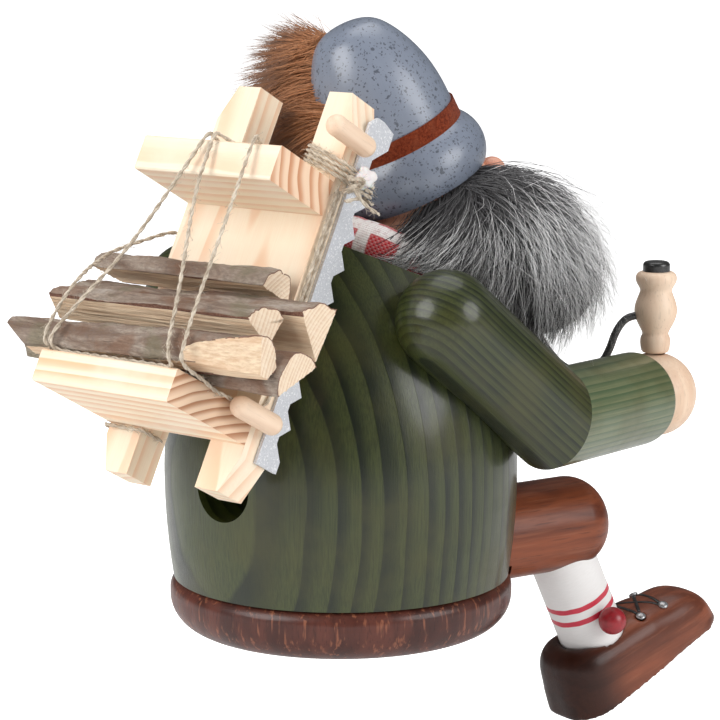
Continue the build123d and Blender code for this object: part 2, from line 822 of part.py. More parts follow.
def side_lashing():
    return rod(*in_frame(side_route), twine_radius)


def plank_top():
    return board_length - plank_drop + plank_thickness


def post_lashing():
    """Turns of twine round the right post and the saw, just above the plank."""
    reach = twine_radius + twine_gap
    inner = -notch_half_width + reach
    outer = -board_width / 2 - saw_gap - saw_thickness - reach
    points = []
    for k in range(post_turns):
        low = plank_top() + k * post_pitch
        high = low + post_lashing_rise
        step = post_pitch / 4
        points += [(outer, -saw_tip - reach, low), (inner, -board_thickness - reach, high + step),
                   (inner, reach, high + step * 2), (outer, reach, low + step * 3)]
    return tube(in_frame(points), twine_radius, twine_tight_bend)


def twine_knot():
    outer = -board_width / 2 - saw_gap - saw_thickness - twine_radius * 2 - twine_gap * 2 - knot_radius
    centre = in_frame([(outer, -knot_setback, plank_top())])[0]
    return ball(knot_radius, centre)


def build_all():
    nodes = {
        "base_disc": base_disc(),
        "incense_dish": incense_dish(),
        "dish_nail": dish_nail(),
        "body_shell": body_shell(),
        "head": head(),
        "nose": nose(),
        "eyes": eyes(),
        "hat": hat(),
        "hat_band": hat_band(),
        "hat_plume": hat_plume(),
        "scarf": scarf(),
        "beard": beard(),
        "pipe_bowl": pipe_bowl(),
        "pipe_lid": pipe_lid(),
        "pipe_stem": pipe_stem(),
        "carrier_board": carrier_board(),
        "carrier_plank": plank(plank_depth, plank_thickness, board_length - plank_drop),
        "carrier_shelf": plank(shelf_depth, shelf_thickness, shelf_height),
        "carrier_dowel": carrier_dowel(),
        "saw_blade": saw_blade(),
        "saw_handle_upper": saw_handle(board_length - handle_high_drop),
        "saw_handle_lower": saw_handle(handle_low),
        "log_lashing": log_lashing(),
        "side_lashing": side_lashing(),
        "post_lashing": post_lashing(),
        "twine_knot": twine_knot(),
    }
    for name, sizes in log_table.items():
        nodes[name] = log(**sizes)
    nodes["log_front"] = front_log()
    for name, side in (("right", -1), ("left", 1)):
        nodes[name + "_upper_arm"] = upper_arm(side)
        nodes[name + "_forearm"] = forearm(side)
        nodes[name + "_hand"] = hand(side)
        nodes[name + "_shoulder_dowel"] = shoulder_dowel(side)
        nodes[name + "_elbow_dowel"] = elbow_dowel(side)
        nodes[name + "_thigh"] = thigh(side)
        nodes[name + "_sock"] = sock_blank(side)
        nodes[name + "_boot"] = boot(side)
        nodes[name + "_pompom"] = pompom(side)
        nodes[name + "_boot_eyelets"] = boot_eyelets(side)
    return nodes


nodes = build_all()
os.makedirs("parts", exist_ok=True)
for name, shape in nodes.items():
    export_step(shape, "parts/" + name + ".step")
print(len(nodes), "nodes written")
print("pipe stem bends at radius", round(min(stem_bends()), 1))
print("twine bends round the edges at radius", twine_tight_bend)
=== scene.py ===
import math
import random

import bpy
import numpy as np
from mathutils import Matrix, Vector, noise


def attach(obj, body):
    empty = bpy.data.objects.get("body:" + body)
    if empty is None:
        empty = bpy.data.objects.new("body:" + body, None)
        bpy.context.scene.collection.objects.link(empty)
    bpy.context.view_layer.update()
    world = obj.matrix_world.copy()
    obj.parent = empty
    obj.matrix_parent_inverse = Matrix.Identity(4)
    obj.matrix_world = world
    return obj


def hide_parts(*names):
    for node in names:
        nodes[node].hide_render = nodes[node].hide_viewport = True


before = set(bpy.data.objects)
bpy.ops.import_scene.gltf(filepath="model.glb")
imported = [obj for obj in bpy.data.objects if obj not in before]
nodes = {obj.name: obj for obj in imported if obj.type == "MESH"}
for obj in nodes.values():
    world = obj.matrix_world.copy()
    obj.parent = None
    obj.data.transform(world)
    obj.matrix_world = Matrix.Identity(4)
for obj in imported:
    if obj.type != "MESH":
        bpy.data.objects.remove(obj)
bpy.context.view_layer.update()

bodyName = "figure"
print("stage: frame loaded,", len(nodes), "nodes")


def clearSelection():
    if bpy.context.object and bpy.context.object.mode != "OBJECT":
        bpy.ops.object.mode_set(mode="OBJECT")
    bpy.ops.object.select_all(action="DESELECT")


def makeActive(obj):
    clearSelection()
    obj.select_set(True)
    bpy.context.view_layer.objects.active = obj


def applyPlace(obj):
    makeActive(obj)
    bpy.ops.object.transform_apply(location=True, rotation=True, scale=True)


def addModifier(obj, kind, **values):
    modifier = obj.modifiers.new(kind.lower(), kind)
    for label, value in values.items():
        setattr(modifier, label, value)


def applyModifiers(obj):
    makeActive(obj)
    for modifier in list(obj.modifiers):
        bpy.ops.object.modifier_apply(modifier=modifier.name)


def linked(name, data):
    obj = bpy.data.objects.new(name, data)
    bpy.context.scene.collection.objects.link(obj)
    return obj


def inEdit(*steps):
    # runs edit mode steps on the whole mesh
    bpy.ops.object.mode_set(mode="EDIT")
    for step in steps:
        bpy.ops.mesh.select_all(action="SELECT")
        step()
    bpy.ops.object.mode_set(mode="OBJECT")


def mergeClose(distance):
    bpy.ops.mesh.remove_doubles(threshold=distance)


def turnOutward():
    bpy.ops.mesh.normals_make_consistent(inside=False)


def coat(obj, *finishNames):
    obj.data.materials.clear()
    for finishName in finishNames:
        obj.data.materials.append(finish[finishName])


def started(name, add, **values):
    # a new primitive, alone in the selection
    clearSelection()
    add(**values)
    obj = bpy.context.object
    obj.name = obj.data.name = name
    return obj


def joined(name, parts):
    makeActive(parts[0])
    for part in parts:
        part.select_set(True)
    if len(parts) > 1:
        bpy.ops.object.join()
    parts[0].name = name
    parts[0].data.name = name
    return parts[0]


def cleanCopy(name, nodeName):
    copy = linked(name, nodes[nodeName].data.copy())
    makeActive(copy)
    inEdit(lambda: mergeClose(0.00001))
    return copy


def localMatrix(origin, xDir, yDir, zDir):
    turn = Matrix((xDir, yDir, zDir)).transposed().to_4x4()
    turn.translation = Vector(origin)
    return turn


# places of the tilted pieces, as in the solids
places = {
    "head": Vector((-0.007, -0.0256, 0.10803)), "headRadius": 0.0175,
    "face": Vector((-0.4848, -0.8746, 0.0)), "faceSide": Vector((0.8746, -0.4848, 0.0)),
    "hat": localMatrix((-0.007, -0.0256, 0.10803), (0.8746, -0.4848, 0.0), (0.432, 0.7793, -0.454),
                       (0.2201, 0.3971, 0.891)),
    "neck": localMatrix((0, 0, 0.0976), (0.8746, -0.4848, 0.0), (0.4479, 0.808, 0.3827), (-0.1855, -0.3347, 0.9239)),
    "neckFoot": (0.00629, -0.01983),
    "plume": localMatrix((0.01912, -0.00505, 0.13361), (0.0, 0.8788, 0.4772), (-0.866, -0.2386, 0.4394),
                         (0.5, -0.4132, 0.7611)),
    "carrier": localMatrix((0, 0.06614, 0.04797), (1, 0, 0), (0, 0.8788, 0.4772), (0, -0.4772, 0.8788)),
    "rightShin": localMatrix((-0.02657, -0.05431, 0.0198), (-0.2498, -0.8712, 0.4226), (0.9613, -0.2756, 0.0),
                             (0.1165, 0.4062, 0.9063)),
    "leftShin": localMatrix((0.0331, -0.0547, 0.0198), (0.2149, -0.5318, 0.8192), (0.9272, 0.3746, 0.0),
                            (-0.3069, 0.7595, 0.5736)),
    "rightBoot": localMatrix((-0.03053, -0.06812, -0.01101), (-0.2621, -0.9142, 0.309), (0.9613, -0.2756, 0.0),
                             (0.0852, 0.297, 0.9511)),
    "leftBoot": localMatrix((0.04354, -0.08053, 0.0003), (0.2507, -0.6204, 0.7431), (0.9272, 0.3746, 0.0),
                            (-0.2784, 0.689, 0.6691)),
    "rightThigh": localMatrix((-0.011, 0.0, 0.0198), (0, 0, 1), (0.9613, -0.2756, 0.0), (-0.2756, -0.9613, 0.0)),
    "leftThigh": localMatrix((0.011, 0.0, 0.0198), (0, 0, 1), (0.9272, 0.3746, 0.0), (0.3746, -0.9272, 0.0)),
    "rightUpperArm": ((-0.042, 0.01, 0.084), (-0.048, -0.025, 0.0555)),
    "rightForearm": ((-0.048, -0.025, 0.0555), (-0.042, -0.08, 0.0535)),
    "leftUpperArm": ((0.042, 0.01, 0.084), (0.048, -0.025, 0.0555)),
    "leftForearm": ((0.048, -0.025, 0.0555), (0.042, -0.08, 0.0535)),
}


def placeAlong(start, end):
    # a place with its Z along a bar
    zDir = (Vector(end) - Vector(start)).normalized()
    xDir = Vector((0, 0, 1)).cross(zDir).normalized()
    return localMatrix(start, xDir, zDir.cross(xDir), zDir)


work = {}  # holds the node tree in hand


def feed(node, sockets):
    # links sockets and sets plain values
    for key, value in sockets.items():
        if isinstance(value, bpy.types.NodeSocket):
            work["tree"].links.new(value, node.inputs[key])
        else:
            node.inputs[key].default_value = value


def put(kind, sockets=None, **props):
    node = work["tree"].nodes.new(kind if kind.startswith("Node") else "ShaderNode" + kind)
    for key, value in props.items():
        setattr(node, key, value)
    feed(node, sockets or {})
    return node


def calc(operation, *values):
    return put("Math", dict(enumerate(values)), operation=operation).outputs[0]


def times(a, b):
    return calc("MULTIPLY", a, b)


def timesPlus(a, b, c):
    return calc("MULTIPLY_ADD", a, b, c)


def vectorCalc(operation, *values):
    return put("VectorMath", dict(enumerate(values)), operation=operation).outputs[0]


def partsOf(vector):
    return put("SeparateXYZ", {0: vector}).outputs


def attributeOf(name):
    return put("Attribute", attribute_name=name).outputs["Fac"]


def mixColour(factor, a, b):
    a, b = ((*c, 1) if isinstance(c, tuple) else c for c in (a, b))
    return put("Mix", {0: factor, 6: a, 7: b}, data_type="RGBA").outputs[2]


def fade(value, low, high, start=0.0, end=1.0):
    return put("MapRange", {0: value, 1: low, 2: high, 3: start, 4: end}, interpolation_type="SMOOTHSTEP").outputs[0]


def tinted(colour, shade, pattern, low, high, share=1.0):
    return mixColour(fade(pattern, low, high, 0.0, share), colour, shade)


def stretch(vector, sizes):
    return vectorCalc("MULTIPLY", vector, sizes)


def noiseOf(vector, scale, detail=4.0, rough=0.55, distortion=0.0):
    return put("TexNoise", {"Vector": vector, "Scale": scale, "Detail": detail, "Roughness": rough,
                            "Distortion": distortion}).outputs[0]


def startGroup(name, outputs, **numbers):
    # a group that takes a vector and some numbers
    tree = work["tree"] = bpy.data.node_groups.new(name, "ShaderNodeTree")
    tree.interface.new_socket("Vector", in_out="INPUT", socket_type="NodeSocketVector")
    for label, value in numbers.items():
        tree.interface.new_socket(label, in_out="INPUT", socket_type="NodeSocketFloat").default_value = value
    for label in outputs:
        tree.interface.new_socket(label, in_out="OUTPUT", socket_type="NodeSocketFloat")
    return put("NodeGroupInput").outputs, put("NodeGroupOutput")


def useGroup(name, **sockets):
    return put("Group", sockets, node_tree=bpy.data.node_groups[name]).outputs


def buildGroups():
    # growth rings about the Z axis, with soft early wood and sharp late wood
    given, out = startGroup("ringGrain", ["Late", "Streak", "Cloud", "Height"], Pitch=0.003, Wobble=0.003)
    flat = stretch(given["Vector"], (1, 1, 0.04))
    radius = put("VectorMath", {0: flat}, operation="LENGTH").outputs["Value"]
    slow = noiseOf(stretch(given["Vector"], (1, 1, 0.3)), 38.0, 2.0)
    bent = timesPlus(calc("SUBTRACT", slow, 0.5), given["Wobble"], radius)
    count = calc("DIVIDE", bent, given["Pitch"])
    uneven = noiseOf(put("CombineXYZ", {0: count}).outputs[0], 0.7, 1.0)
    ring = calc("FRACT", timesPlus(uneven, 0.9, count))
    late = times(fade(ring, 0.2, 0.93), fade(ring, 0.93, 0.985, 1.0, 0.0))
    late = times(late, fade(noiseOf(flat, 60.0, 2.0), 0.2, 0.62, 0.65, 1.0))
    fine = noiseOf(stretch(given["Vector"], (1, 1, 0.025)), 2600.0, 3.0, 0.65)
    streak = fade(fine, 0.3, 0.75)
    cloud = noiseOf(given["Vector"], 55.0, 4.0)
    height = timesPlus(streak, 0.35, late)
    feed(out, {"Late": late, "Streak": streak, "Cloud": cloud, "Height": height})

    # short rays and open pores of a hard wood, along Z
    given, out = startGroup("rayGrain", ["Ray", "Pore", "Cloud", "Height"], Length=0.08)
    along = stretch(given["Vector"], put("CombineXYZ", {0: 1.0, 1: 1.0, 2: given["Length"]}).outputs[0])
    ray = fade(noiseOf(along, 950.0, 2.0, 0.5), 0.56, 0.72)
    pore = fade(noiseOf(along, 2400.0, 2.0, 0.6), 0.56, 0.7)
    bands = noiseOf(stretch(given["Vector"], (1, 1, 0.12)), 130.0, 4.0, 0.6, 0.6)
    height = calc("SUBTRACT", times(ray, 0.4), pore)
    feed(out, {"Ray": ray, "Pore": pore, "Cloud": bands, "Height": height})

    # flecks of several sizes, scattered
    given, out = startGroup("speckle", ["Fleck"], Scale=600.0, Amount=0.3)
    wavy = put("TexNoise", {"Vector": given["Vector"], "Scale": 1400.0, "Detail": 2.0}).outputs["Color"]
    moved = vectorCalc("MULTIPLY_ADD", wavy, (0.0011, 0.0011, 0.0011), given["Vector"])
    cells = put("TexVoronoi", {"Vector": moved, "Scale": given["Scale"], "Randomness": 1.0}).outputs
    chance = put("SeparateColor", {0: cells["Color"]}).outputs[0]
    size = times(calc("POWER", chance, 3.0), given["Amount"])
    feed(out, {"Fleck": calc("LESS_THAN", cells["Distance"], size)})

    # rough bark with cracks along Z
    given, out = startGroup("barkPlates", ["Crack", "Patch", "Rough", "Height"])
    tall = stretch(given["Vector"], (1, 1, 0.22))
    cracks = put("TexVoronoi", {"Vector": tall, "Scale": 620.0}, feature="DISTANCE_TO_EDGE")
    crack = fade(cracks.outputs["Distance"], 0.0, 0.12, 1.0, 0.0)
    crack = times(crack, fade(noiseOf(tall, 260.0, 2.0), 0.45, 0.6))
    patch = noiseOf(tall, 210.0, 5.0, 0.65, 0.8)
    rough = noiseOf(stretch(given["Vector"], (1, 1, 0.5)), 1500.0, 6.0, 0.7)
    height = calc("SUBTRACT", timesPlus(patch, 1.2, rough), times(crack, 0.2))
    feed(out, {"Crack": crack, "Patch": patch, "Rough": rough, "Height": height})

    # plain weave on a UV map
    given, out = startGroup("weave", ["Thread", "Height"], Threads=60.0)
    across, along = (calc("SINE", times(part, times(given["Threads"], 6.283))) for part in partsOf(given["Vector"])[:2])
    over = times(across, along)
    feed(out, {"Thread": fade(over, -1.0, 1.0), "Height": calc("ABSOLUTE", over)})

    # handling marks that change the gloss
    given, out = startGroup("handling", ["Smear"])
    feed(out, {"Smear": fade(noiseOf(given["Vector"], 90.0, 5.0, 0.6, 0.5), 0.35, 0.7)})


def newMaterial(name):
    material = work["material"] = bpy.data.materials.new(name)
    material.use_nodes = True
    work["tree"] = material.node_tree


def placedVector(place=None):
    # object coordinates turned into the place's own axes
    source = put("TexCoord").outputs["Object"]
    if place is None:
        return source
    inverse = place.inverted()
    return put("Mapping", {"Vector": source, "Location": inverse.to_translation(), "Rotation": inverse.to_euler()},
               vector_type="POINT").outputs[0]


def setShader(**values):
    # gives the material in hand its values and sockets
    feed(work["tree"].nodes["Principled BSDF"], {label.replace("_", " "): value for label, value in values.items()})
    return work["material"]


def finishSurface(colour, height, bump, rough, roughSpread=0.08, vector=None, **others):
    marks = useGroup("handling", Vector=vector or placedVector())
    level = timesPlus(marks["Smear"], roughSpread, rough - roughSpread / 2)
    relief = put("Bump", {"Strength": bump[0], "Distance": bump[1], "Height": height}).outputs[0]
    return setShader(Base_Color=colour, Roughness=level, Normal=relief, **others)


def ringWood(name, early, late, tint, place, pitch, wobble, pith, rough=0.4, coat=0.0,
             bump=(0.25, 0.0002), streak=0.25, ends=None, shine=0.5):
    newMaterial(name)
    vector = placedVector(place)
    offset = vectorCalc("ADD", vector, (*pith, 0))
    grain = useGroup("ringGrain", Vector=offset, Pitch=pitch, Wobble=wobble)
    mid = tuple(a * (1 - streak) + b * streak for a, b in zip(early, late))
    colour = mixColour(grain["Streak"], early, mid)
    colour = mixColour(grain["Late"], colour, late)
    colour = tinted(colour, tint, grain["Cloud"], 0.4, 0.7, 0.4)
    if ends:  # darker where the wood is cut across
        cut = fade(calc("ABSOLUTE", partsOf(put("TexCoord").outputs["Normal"])[0]), 0.45, 0.6)
        across = mixColour(grain["Late"], (0.83, 0.6, 0.42), ends)
        colour = mixColour(cut, colour, across)
    return finishSurface(colour, grain["Height"], bump, rough, 0.1, vector,
                         Coat_Weight=coat, Coat_Roughness=0.18, Specular_IOR_Level=shine)


def rayWood(name, base, dark, ray, place, rough=0.42, coat=0.0, length=0.08, rayShare=0.6, poreShare=0.45):
    newMaterial(name)
    vector = placedVector(place)
    grain = useGroup("rayGrain", Vector=vector, Length=length)
    colour = mixColour(fade(grain["Cloud"], 0.35, 0.65), dark, base)
    colour = mixColour(times(grain["Ray"], rayShare), colour, ray)
    colour = mixColour(times(grain["Pore"], poreShare), colour, tuple(c * 0.35 for c in dark))
    return finishSurface(colour, grain["Height"], (0.2, 0.00012), rough, 0.12, vector,
                         Coat_Weight=coat, Coat_Roughness=0.2, Specular_IOR_Level=0.3)


stain = {
    "green": (0.044, 0.055, 0.013), "greenLate": (0.005, 0.009, 0.002), "greenTint": (0.06, 0.056, 0.01),
    "brown": (0.235, 0.058, 0.02), "brownDark": (0.105, 0.022, 0.008), "brownRay": (0.31, 0.11, 0.055),
    "pale": (0.83, 0.64, 0.48), "paleDark": (0.74, 0.52, 0.37), "paleRay": (0.88, 0.72, 0.57),
    "pine": (0.9, 0.77, 0.59), "pineLate": (0.83, 0.56, 0.37), "pineTint": (0.93, 0.82, 0.68),
    "skin": (0.8, 0.48, 0.34), "skinDark": (0.7, 0.36, 0.24),
}


def flipped(place):
    # the place with its axes moved on by one, so that the grain's Z is the place's X
    turn = place.to_3x3()
    swapped = Matrix((turn.col[1], turn.col[2], turn.col[0])).transposed().to_4x4()
    swapped.translation = place.to_translation()
    return swapped


def woodFinishes():
    s, made = stain, {}
    upright = Matrix.Identity(4)
    green = dict(early=s["green"], late=s["greenLate"], tint=s["greenTint"], rough=0.4, coat=0.45, streak=0.6,
                 shine=0.35, bump=(0.3, 0.0002))
    made["bodyGreen"] = ringWood("bodyGreen", place=upright, pitch=0.0044, wobble=0.0045,
                                 pith=(0.02, 0.125), **green)
    for side in ("right", "left"):
        for bar, lighter in (("UpperArm", (1.0, 1.0, 1.0)), ("Forearm", (3.5, 3.1, 6.5))):
            green["early"] = tuple(c * k for c, k in zip(s["green"], lighter))
            green["late"] = tuple(c * k * 3.6 if k > 1 else c for c, k in zip(s["greenLate"], lighter))
            made[side + bar] = ringWood(side + bar + "Green", place=placeAlong(*places[side + bar]), pitch=0.0017,
                                        wobble=0.0012, pith=(0.012, 0.07), **green)
        made[side + "Thigh"] = rayWood(side + "ThighBrown", s["brown"], s["brownDark"], s["brownRay"],
                                       places[side + "Thigh"], coat=0.15, length=0.05, rayShare=0.3)
    made["baseBrown"] = rayWood("baseBrown", (0.098, 0.026, 0.016), (0.046, 0.012, 0.008), s["brownRay"], upright,
                                coat=0.25, length=0.12)
    pine = dict(early=s["pine"], late=s["pineLate"], tint=s["pineTint"], rough=0.55)
    made["boardPine"] = ringWood("boardPine", place=places["carrier"], pitch=0.0036, wobble=0.006, pith=(0.006, 0.04),
                                 **pine)
    made["plankPine"] = ringWood("plankPine", place=flipped(places["carrier"]), pitch=0.0034, wobble=0.006,
                                 pith=(0.03, -0.094), ends=(0.56, 0.25, 0.12), **pine)
    pine["late"] = (0.8, 0.49, 0.29)
    made["shelfPine"] = ringWood("shelfPine", place=flipped(places["carrier"]), pitch=0.0023, wobble=0.0025,
                                 pith=(0.026, 0.06), ends=(0.42, 0.19, 0.09), **pine)
    pale = (s["pale"], s["paleDark"], s["paleRay"])
    made["palePlain"] = rayWood("palePlain", *pale, upright, rough=0.42, coat=0.15, length=0.08, rayShare=0.2,
                                poreShare=0.2)
    made["paleHandle"] = rayWood("paleHandle", *pale, flipped(flipped(places["carrier"])), rough=0.45, coat=0.15,
                                 length=0.06, rayShare=0.12, poreShare=0.12)
    made["skinWood"] = rayWood("skinWood", s["skin"], s["skinDark"], s["paleRay"], upright, rough=0.45, coat=0.15,
                               rayShare=0.1)
    return made


def bootFinish(side):
    newMaterial(side + "BootBrown")
    vector = placedVector(places[side + "Boot"])
    grain = useGroup("rayGrain", Vector=placedVector(flipped(places[side + "Boot"])), Length=0.06)
    # painted shade: the rear of the boot, towards the heel, is darkened almost to black where shade falls on it
    heel = fade(partsOf(vector)[0], -0.01, 0.005, 1.0, 0.0)
    colour = mixColour(fade(grain["Cloud"], 0.35, 0.65), (0.115, 0.032, 0.016), (0.24, 0.07, 0.034))
    colour = mixColour(times(grain["Ray"], 0.2), colour, stain["brownRay"])
    colour = mixColour(times(heel, 0.85), colour, (0.012, 0.004, 0.003))
    return finishSurface(colour, grain["Height"], (0.2, 0.00012), 0.4, 0.12, vector,
                         Coat_Weight=0.15, Coat_Roughness=0.22, Specular_IOR_Level=0.25)


sockPaint = {"white": (0.82, 0.8, 0.79), "red": (0.56, 0.02, 0.05), "rings": (-0.0225, -0.0264),
             "ringHalf": 0.00078}


def sockFinish(side):
    newMaterial(side + "SockPaint")
    vector = placedVector(places[side + "Shin"])
    wavy = timesPlus(noiseOf(vector, 300.0, 1.0), 0.0004, -0.0002)
    height = calc("ADD", partsOf(vector)[2], wavy)
    mask = 0.0
    for level in sockPaint["rings"]:
        near = calc("ABSOLUTE", calc("SUBTRACT", height, level))
        ring = fade(near, sockPaint["ringHalf"] * 0.88, sockPaint["ringHalf"] * 1.1, 1.0, 0.0)
        mask = calc("MAXIMUM", mask, ring)
    brush = noiseOf(stretch(vector, (1, 1, 6)), 500.0, 3.0)
    white = mixColour(brush, sockPaint["white"], (0.74, 0.715, 0.7))
    colour = mixColour(mask, white, sockPaint["red"])
    return finishSurface(colour, timesPlus(mask, 0.5, brush), (0.15, 0.0001), 0.45, 0.1, vector,
                         Coat_Weight=0.2, Coat_Roughness=0.3)


def hatFinish():
    newMaterial("hatGrey")
    vector = placedVector(places["hat"])
    fine = useGroup("speckle", Vector=vector, Scale=1700.0, Amount=0.6)
    coarse = useGroup("speckle", Vector=vector, Scale=900.0, Amount=0.4)
    grain = useGroup("rayGrain", Vector=vector, Length=0.3)
    fleck = calc("MAXIMUM", fine["Fleck"], coarse["Fleck"])
    colour = mixColour(grain["Cloud"], (0.135, 0.16, 0.212), (0.228, 0.258, 0.322))
    colour = mixColour(times(fleck, 0.72), colour, (0.04, 0.046, 0.062))
    height = timesPlus(fleck, -1.0, times(grain["Height"], 0.15))
    return finishSurface(colour, height, (0.35, 0.00015), 0.36, 0.08, vector, Coat_Weight=0.45, Coat_Roughness=0.24)


def suedeFinish():
    newMaterial("bandSuede")
    vector = placedVector()
    nap = noiseOf(vector, 1500.0, 6.0, 0.7)
    broad = noiseOf(vector, 260.0, 3.0)
    colour = mixColour(fade(nap, 0.3, 0.7), (0.085, 0.012, 0.004), (0.24, 0.045, 0.016))
    colour = tinted(colour, (0.2, 0.05, 0.022), broad, 0.45, 0.7, 0.5)
    return finishSurface(colour, nap, (0.8, 0.0004), 0.9, 0.05, vector,
                         Sheen_Weight=0.05, Sheen_Roughness=0.5, Specular_IOR_Level=0.1)


def sawFinish():
    newMaterial("sawSilver")
    vector = placedVector()
    fleck = useGroup("speckle", Vector=vector, Scale=2600.0, Amount=0.7)
    cloud = noiseOf(vector, 2200.0, 3.0, 0.7)
    colour = mixColour(cloud, (0.43, 0.445, 0.48), (0.76, 0.775, 0.81))
    colour = mixColour(times(fleck["Fleck"], 0.6), colour, (0.95, 0.95, 0.96))
    return finishSurface(colour, cloud, (0.5, 0.0003), 0.5, 0.1, vector, Metallic=0.35)


def paintFinish(name, base, worn, rough=0.3, coat=0.4, metal=0.0, bump=0.12, scale=700.0):
    newMaterial(name)
    vector = placedVector()
    brush = noiseOf(vector, scale, 5.0, 0.65)
    colour = mixColour(fade(brush, 0.35, 0.7), base, worn)
    return finishSurface(colour, brush, (bump, 0.0002), rough, 0.1, vector,
                         Coat_Weight=coat, Coat_Roughness=0.2, Metallic=metal)


def barkFinish():
    newMaterial("barkRough")
    vector = placedVector(flipped(places["carrier"]))
    bark = useGroup("barkPlates", Vector=vector)
    colour = mixColour(fade(bark["Patch"], 0.38, 0.62), (0.25, 0.165, 0.118), (0.5, 0.41, 0.335))
    colour = tinted(colour, (0.25, 0.19, 0.16), bark["Rough"], 0.35, 0.72, 0.75)
    colour = tinted(colour, (0.52, 0.46, 0.41), bark["Patch"], 0.6, 0.7, 0.6)
    broad = noiseOf(vector, 70.0, 3.0)
    colour = tinted(colour, (0.25, 0.125, 0.072), broad, 0.5, 0.62, 0.55)
    colour = mixColour(fade(broad, 0.34, 0.45, 0.45, 0.0), colour, (0.21, 0.205, 0.12))
    colour = mixColour(times(bark["Crack"], 0.1), colour, (0.075, 0.045, 0.032))
    return finishSurface(colour, bark["Height"], (1.0, 0.0011), 0.88, 0.08, vector, Specular_IOR_Level=0.25)


def splitFinish():
    newMaterial("splitWood")
    vector = placedVector(flipped(places["carrier"]))
    fibre = noiseOf(stretch(vector, (1, 1, 0.04)), 1700.0, 4.0, 0.65)
    broad = noiseOf(stretch(vector, (1, 1, 0.15)), 320.0, 3.0)
    colour = mixColour(fade(fibre, 0.3, 0.7), (0.66, 0.46, 0.3), (0.85, 0.68, 0.49))
    colour = tinted(colour, (0.64, 0.36, 0.2), broad, 0.5, 0.7, 0.35)
    return finishSurface(colour, timesPlus(broad, 0.8, fibre), (0.9, 0.0006), 0.75, 0.08, vector,
                         Specular_IOR_Level=0.3)


def endFinish():
    newMaterial("logEndGrain")
    vector = placedVector(flipped(places["carrier"]))
    offset = vectorCalc("ADD", vector, (0.02, -0.03, 0))
    grain = useGroup("ringGrain", Vector=offset, Pitch=0.0011, Wobble=0.003)
    saw = noiseOf(stretch(vector, (0.15, 1, 1)), 1900.0, 3.0)
    colour = mixColour(grain["Late"], (0.83, 0.67, 0.5), (0.69, 0.48, 0.32))
    colour = tinted(colour, (0.88, 0.76, 0.62), saw, 0.4, 0.7, 0.35)
    return finishSurface(colour, calc("ADD", grain["Height"], saw), (0.5, 0.0003), 0.75, 0.08, vector)


def hairFinish(name, root, tip, odd, whiteFrom=0.5, rough=0.5):
    newMaterial(name)
    along = attributeOf("along")
    tone = attributeOf("tone")
    streak = noiseOf(placedVector(), 900.0, 3.0)
    base = mixColour(fade(tone, 0.0, 1.0), tuple(c * 0.6 for c in root), root)
    base = tinted(base, odd, streak, 0.45, 0.7, 0.4)
    reach = timesPlus(tone, 0.25, along)
    if name.startswith("beard"):  # the beard gets darker toward its lower end
        low = fade(partsOf(placedVector())[2], 0.076, 0.102, 1.0, 0.0)
        base = mixColour(times(low, 0.7), base, (0.01, 0.01, 0.012))
        reach = calc("SUBTRACT", reach, times(low, 0.22))
    colour = mixColour(fade(reach, whiteFrom, whiteFrom + 0.35), base, tip)
    return setShader(Base_Color=colour, Roughness=timesPlus(tone, 0.15, rough), Sheen_Weight=0.15,
                     Specular_IOR_Level=0.4)


def twineFinish():
    newMaterial("linenTwine")
    along = attributeOf("along")
    tone = attributeOf("tone")
    vector = put("CombineXYZ", {0: along, 1: times(tone, 7.0)}).outputs[0]
    fibre = noiseOf(stretch(vector, (260.0, 2.2, 1.0)), 1.0, 4.0, 0.7)
    specks = noiseOf(placedVector(), 900.0, 4.0, 0.65)
    colour = mixColour(fade(fibre, 0.3, 0.7), (0.36, 0.29, 0.215), (0.7, 0.62, 0.51))
    colour = tinted(colour, (0.2, 0.155, 0.11), specks, 0.55, 0.7, 0.5)
    return finishSurface(colour, calc("ADD", fibre, specks), (0.6, 0.0002), 0.85, 0.06,
                         Sheen_Weight=0.1, Specular_IOR_Level=0.25)


def scarfFinish():
    newMaterial("scarfCloth")
    vector = put("UVMap", uv_map="cloth").outputs[0]
    weave = useGroup("weave", Vector=vector, Threads=900.0)
    bands = [fade(calc("SINE", times(part, 6.283 / 0.01)), -0.62, -0.36) for part in partsOf(vector)[:2]]
    share = times(*bands)
    fleck = noiseOf(put("TexCoord").outputs["Object"], 700.0, 3.0)
    colour = mixColour(share, (0.86, 0.82, 0.8), (0.5, 0.012, 0.02))
    colour = tinted(colour, (0.32, 0.01, 0.016), fleck, 0.45, 0.75, 0.45)
    colour = mixColour(times(weave["Thread"], 0.25), colour, (0.9, 0.78, 0.76))
    return finishSurface(colour, weave["Height"], (0.6, 0.0002), 0.85, 0.05,
                         Sheen_Weight=0.25, Specular_IOR_Level=0.2)


def glueFinish():
    newMaterial("glueClear")
    vector = placedVector()
    cloud = noiseOf(vector, 500.0, 4.0)
    colour = mixColour(cloud, (0.72, 0.68, 0.66), (0.86, 0.83, 0.82))
    return finishSurface(colour, cloud, (0.2, 0.0002), 0.25, 0.1, vector,
                         Coat_Weight=0.5, Coat_Roughness=0.1, Subsurface_Weight=0.3, Subsurface_Scale=0.002)


